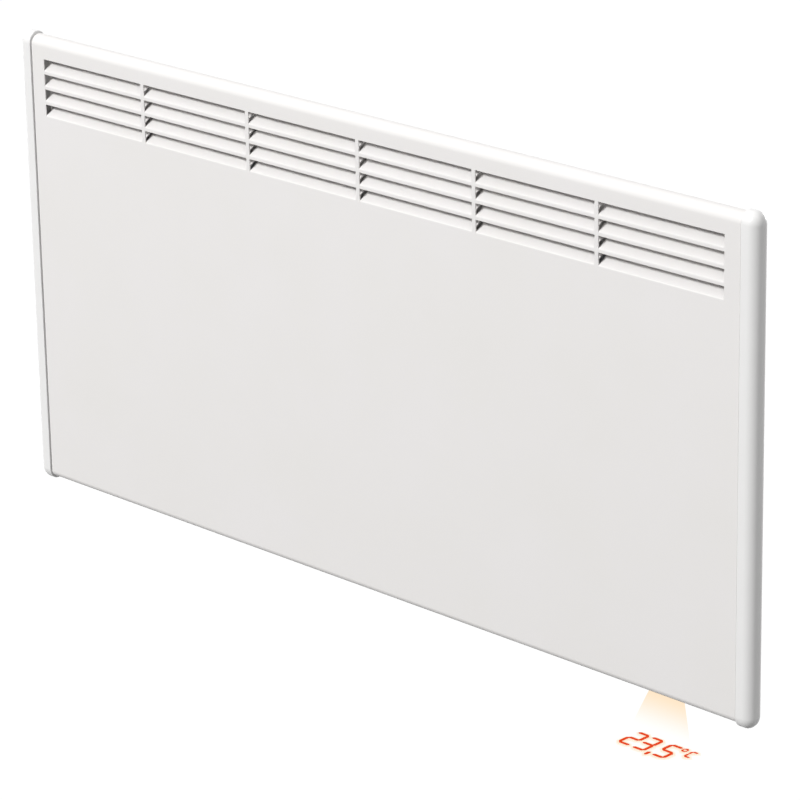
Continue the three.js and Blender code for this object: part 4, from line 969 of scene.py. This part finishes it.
def readout_bars(grow):
    """A plain temperature, drawn in millimetres from its lower left corner."""
    bars = digit_bars("2", 0, 0, DIGIT_WIDTH, DIGIT_HEIGHT, STROKE, grow)
    bars += digit_bars("3", DIGIT_PITCH, 0, DIGIT_WIDTH, DIGIT_HEIGHT, STROKE, grow)
    comma = DIGIT_PITCH + COMMA_PITCH
    bars.append(bar((comma, COMMA_SPAN[0]), (comma, COMMA_SPAN[1]), STROKE, grow))
    last = DIGIT_PITCH + POINT_PITCH
    bars += digit_bars("5", last, 0, DIGIT_WIDTH, DIGIT_HEIGHT, STROKE, grow)
    for sign, (u, v), size in (("0", DEGREE_PLACE, DEGREE_SIZE), ("C", LETTER_PLACE, LETTER_SIZE)):
        bars += digit_bars(sign, last + u, v, *size, SMALL_STROKE, grow)
    return bars


def draw_bars(name, bars, place):
    """Flat bars, put in space by a function of their two coordinates."""
    bm = bmesh.new()
    for outline in bars:
        bm.faces.new([bm.verts.new(place(point.x, point.y)) for point in outline])
    return from_bmesh(name, bm)


DISPLAY_SCALE = 0.3
DISPLAY_DEPTH = 0.06 * MM


def display_digits():
    """The same temperature, lit on the underside of the display behind the window."""
    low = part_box("digit_display")[0]
    middle = centre("digit_display")
    bars = readout_bars(0)
    width = max(point.x for outline in bars for point in outline)
    scale = DISPLAY_SCALE * MM

    def place(u, v):
        across, down = (u - width / 2) * scale, (v - DIGIT_HEIGHT / 2) * scale
        return Vector((middle.x + across, middle.y - down, low.z))

    piece = draw_bars("display_digits", bars, place)
    depth = piece.modifiers.new("depth", "SOLIDIFY")
    depth.thickness = DISPLAY_DEPTH
    depth.offset = 0
    settle(piece)
    paint(piece, GLOW)
    return stand_for(piece, "heater", "black_plastic")


def light_only(name, colour, fade_from, fade_to, axis_scale):
    """Light in the air: an emission that is laid over what is behind it, fading along an axis."""
    material = bpy.data.materials.new(name)
    material.use_nodes = True
    tree = material.node_tree
    tree.nodes.clear()
    place = tree.nodes.new("ShaderNodeTexCoord")
    level = tree.nodes.new("ShaderNodeVectorMath")
    level.operation = "DOT_PRODUCT"
    level.inputs[1].default_value = axis_scale
    tree.links.new(place.outputs["Object"], level.inputs[0])
    span = tree.nodes.new("ShaderNodeMapRange")
    span.interpolation_type = "SMOOTHSTEP"
    (span.inputs["From Min"].default_value, span.inputs["To Min"].default_value) = fade_from
    (span.inputs["From Max"].default_value, span.inputs["To Max"].default_value) = fade_to
    tree.links.new(level.outputs["Value"], span.inputs["Value"])
    see_through = tree.nodes.new("ShaderNodeBsdfTransparent")
    glow = tree.nodes.new("ShaderNodeEmission")
    glow.inputs["Color"].default_value = (*colour, 1)
    mix = tree.nodes.new("ShaderNodeMixShader")
    tree.links.new(span.outputs["Result"], mix.inputs["Fac"])
    tree.links.new(see_through.outputs["BSDF"], mix.inputs[1])
    tree.links.new(glow.outputs["Emission"], mix.inputs[2])
    output = tree.nodes.new("ShaderNodeOutputMaterial")
    tree.links.new(mix.outputs["Shader"], output.inputs["Surface"])
    return material


def as_light(piece, material):
    """Light that follows the heater, but is no part of it: it is on the stage, and throws no shadow."""
    paint(piece, material)
    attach(piece, "heater")
    piece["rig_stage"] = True
    piece.visible_shadow = False
    piece.visible_diffuse = False
    piece.visible_glossy = False
    return piece


READOUT_COLOUR = (0.80, 0.065, 0.014)
HALO_COLOUR = (1.0, 0.80, 0.56)
BEAM_COLOUR = (1.0, 0.78, 0.53)
READOUT_LEVEL = 0.97
BEAM_LEVEL = 0.95
HALO_SINK = 0.2
READOUT_CORNER = Vector((0.2602, -0.0661, -0.2550))
BEAM_Y = -0.052
BEAM_TOP = (0.2914, 0.3094, -0.186)
BEAM_END = (0.2577, 0.3214, -0.250)
BEAM_FULL = -0.205
HALO_STEPS = (0.6, 1.3, 2.1, 3.0)
HALO_LEVEL = 0.30


def add_readout():
    """The temperature that the heater projects below itself, with its halo and the beam above it."""
    def lie(sink):
        return lambda u, v: READOUT_CORNER + Vector((u * MM, v * MM, -sink * MM))

    core = light_only("readout_light", READOUT_COLOUR, (0, 1), (1, READOUT_LEVEL), (0, 0, 0))
    as_light(draw_bars("readout_digits", readout_bars(0), lie(0)), core)
    for i, grow in enumerate(HALO_STEPS):
        halo = light_only(f"readout_halo_{i}", HALO_COLOUR, (0, HALO_LEVEL), (1, HALO_LEVEL), (0, 0, 0))
        as_light(draw_bars(f"readout_halo_{i}", readout_bars(grow), lie(HALO_SINK * (i + 1))), halo)
    bm = bmesh.new()
    (left, right, top), (end_left, end_right, end) = BEAM_TOP, BEAM_END
    corners = ((left, top), (right, top), (end_right, end), (end_left, end))
    bm.faces.new([bm.verts.new((x, BEAM_Y, z)) for x, z in corners])
    beam = light_only("beam_light", BEAM_COLOUR, (end, 0.0), (BEAM_FULL, BEAM_LEVEL), (0, 0, 1))
    as_light(from_bmesh("readout_beam", bm), beam)


add_camera()
add_studio()
front_cover()
end_cap("left", -1)
end_cap("right", 1)
rear_pan()
for node in sorted(NODES):
    if node.startswith("case_screw"):
        screw(node, (0, 1, 0), "zinc_steel")
    if node.startswith("module_screw"):
        screw(node, (0, 0, -1), "zinc_steel")
screw("earth_screw", (0, -1, 0), "brass")
cable_gland()
button("button_down", [bar_mark(*BUTTON_BAR)])
button("button_up", [bar_mark(*BUTTON_BAR), upright(bar_mark(*BUTTON_BAR))])
button("button_mode", ring_mark(*BUTTON_RING))
rocker_marks()
display_digits()
dress_the_rest()
add_readout()
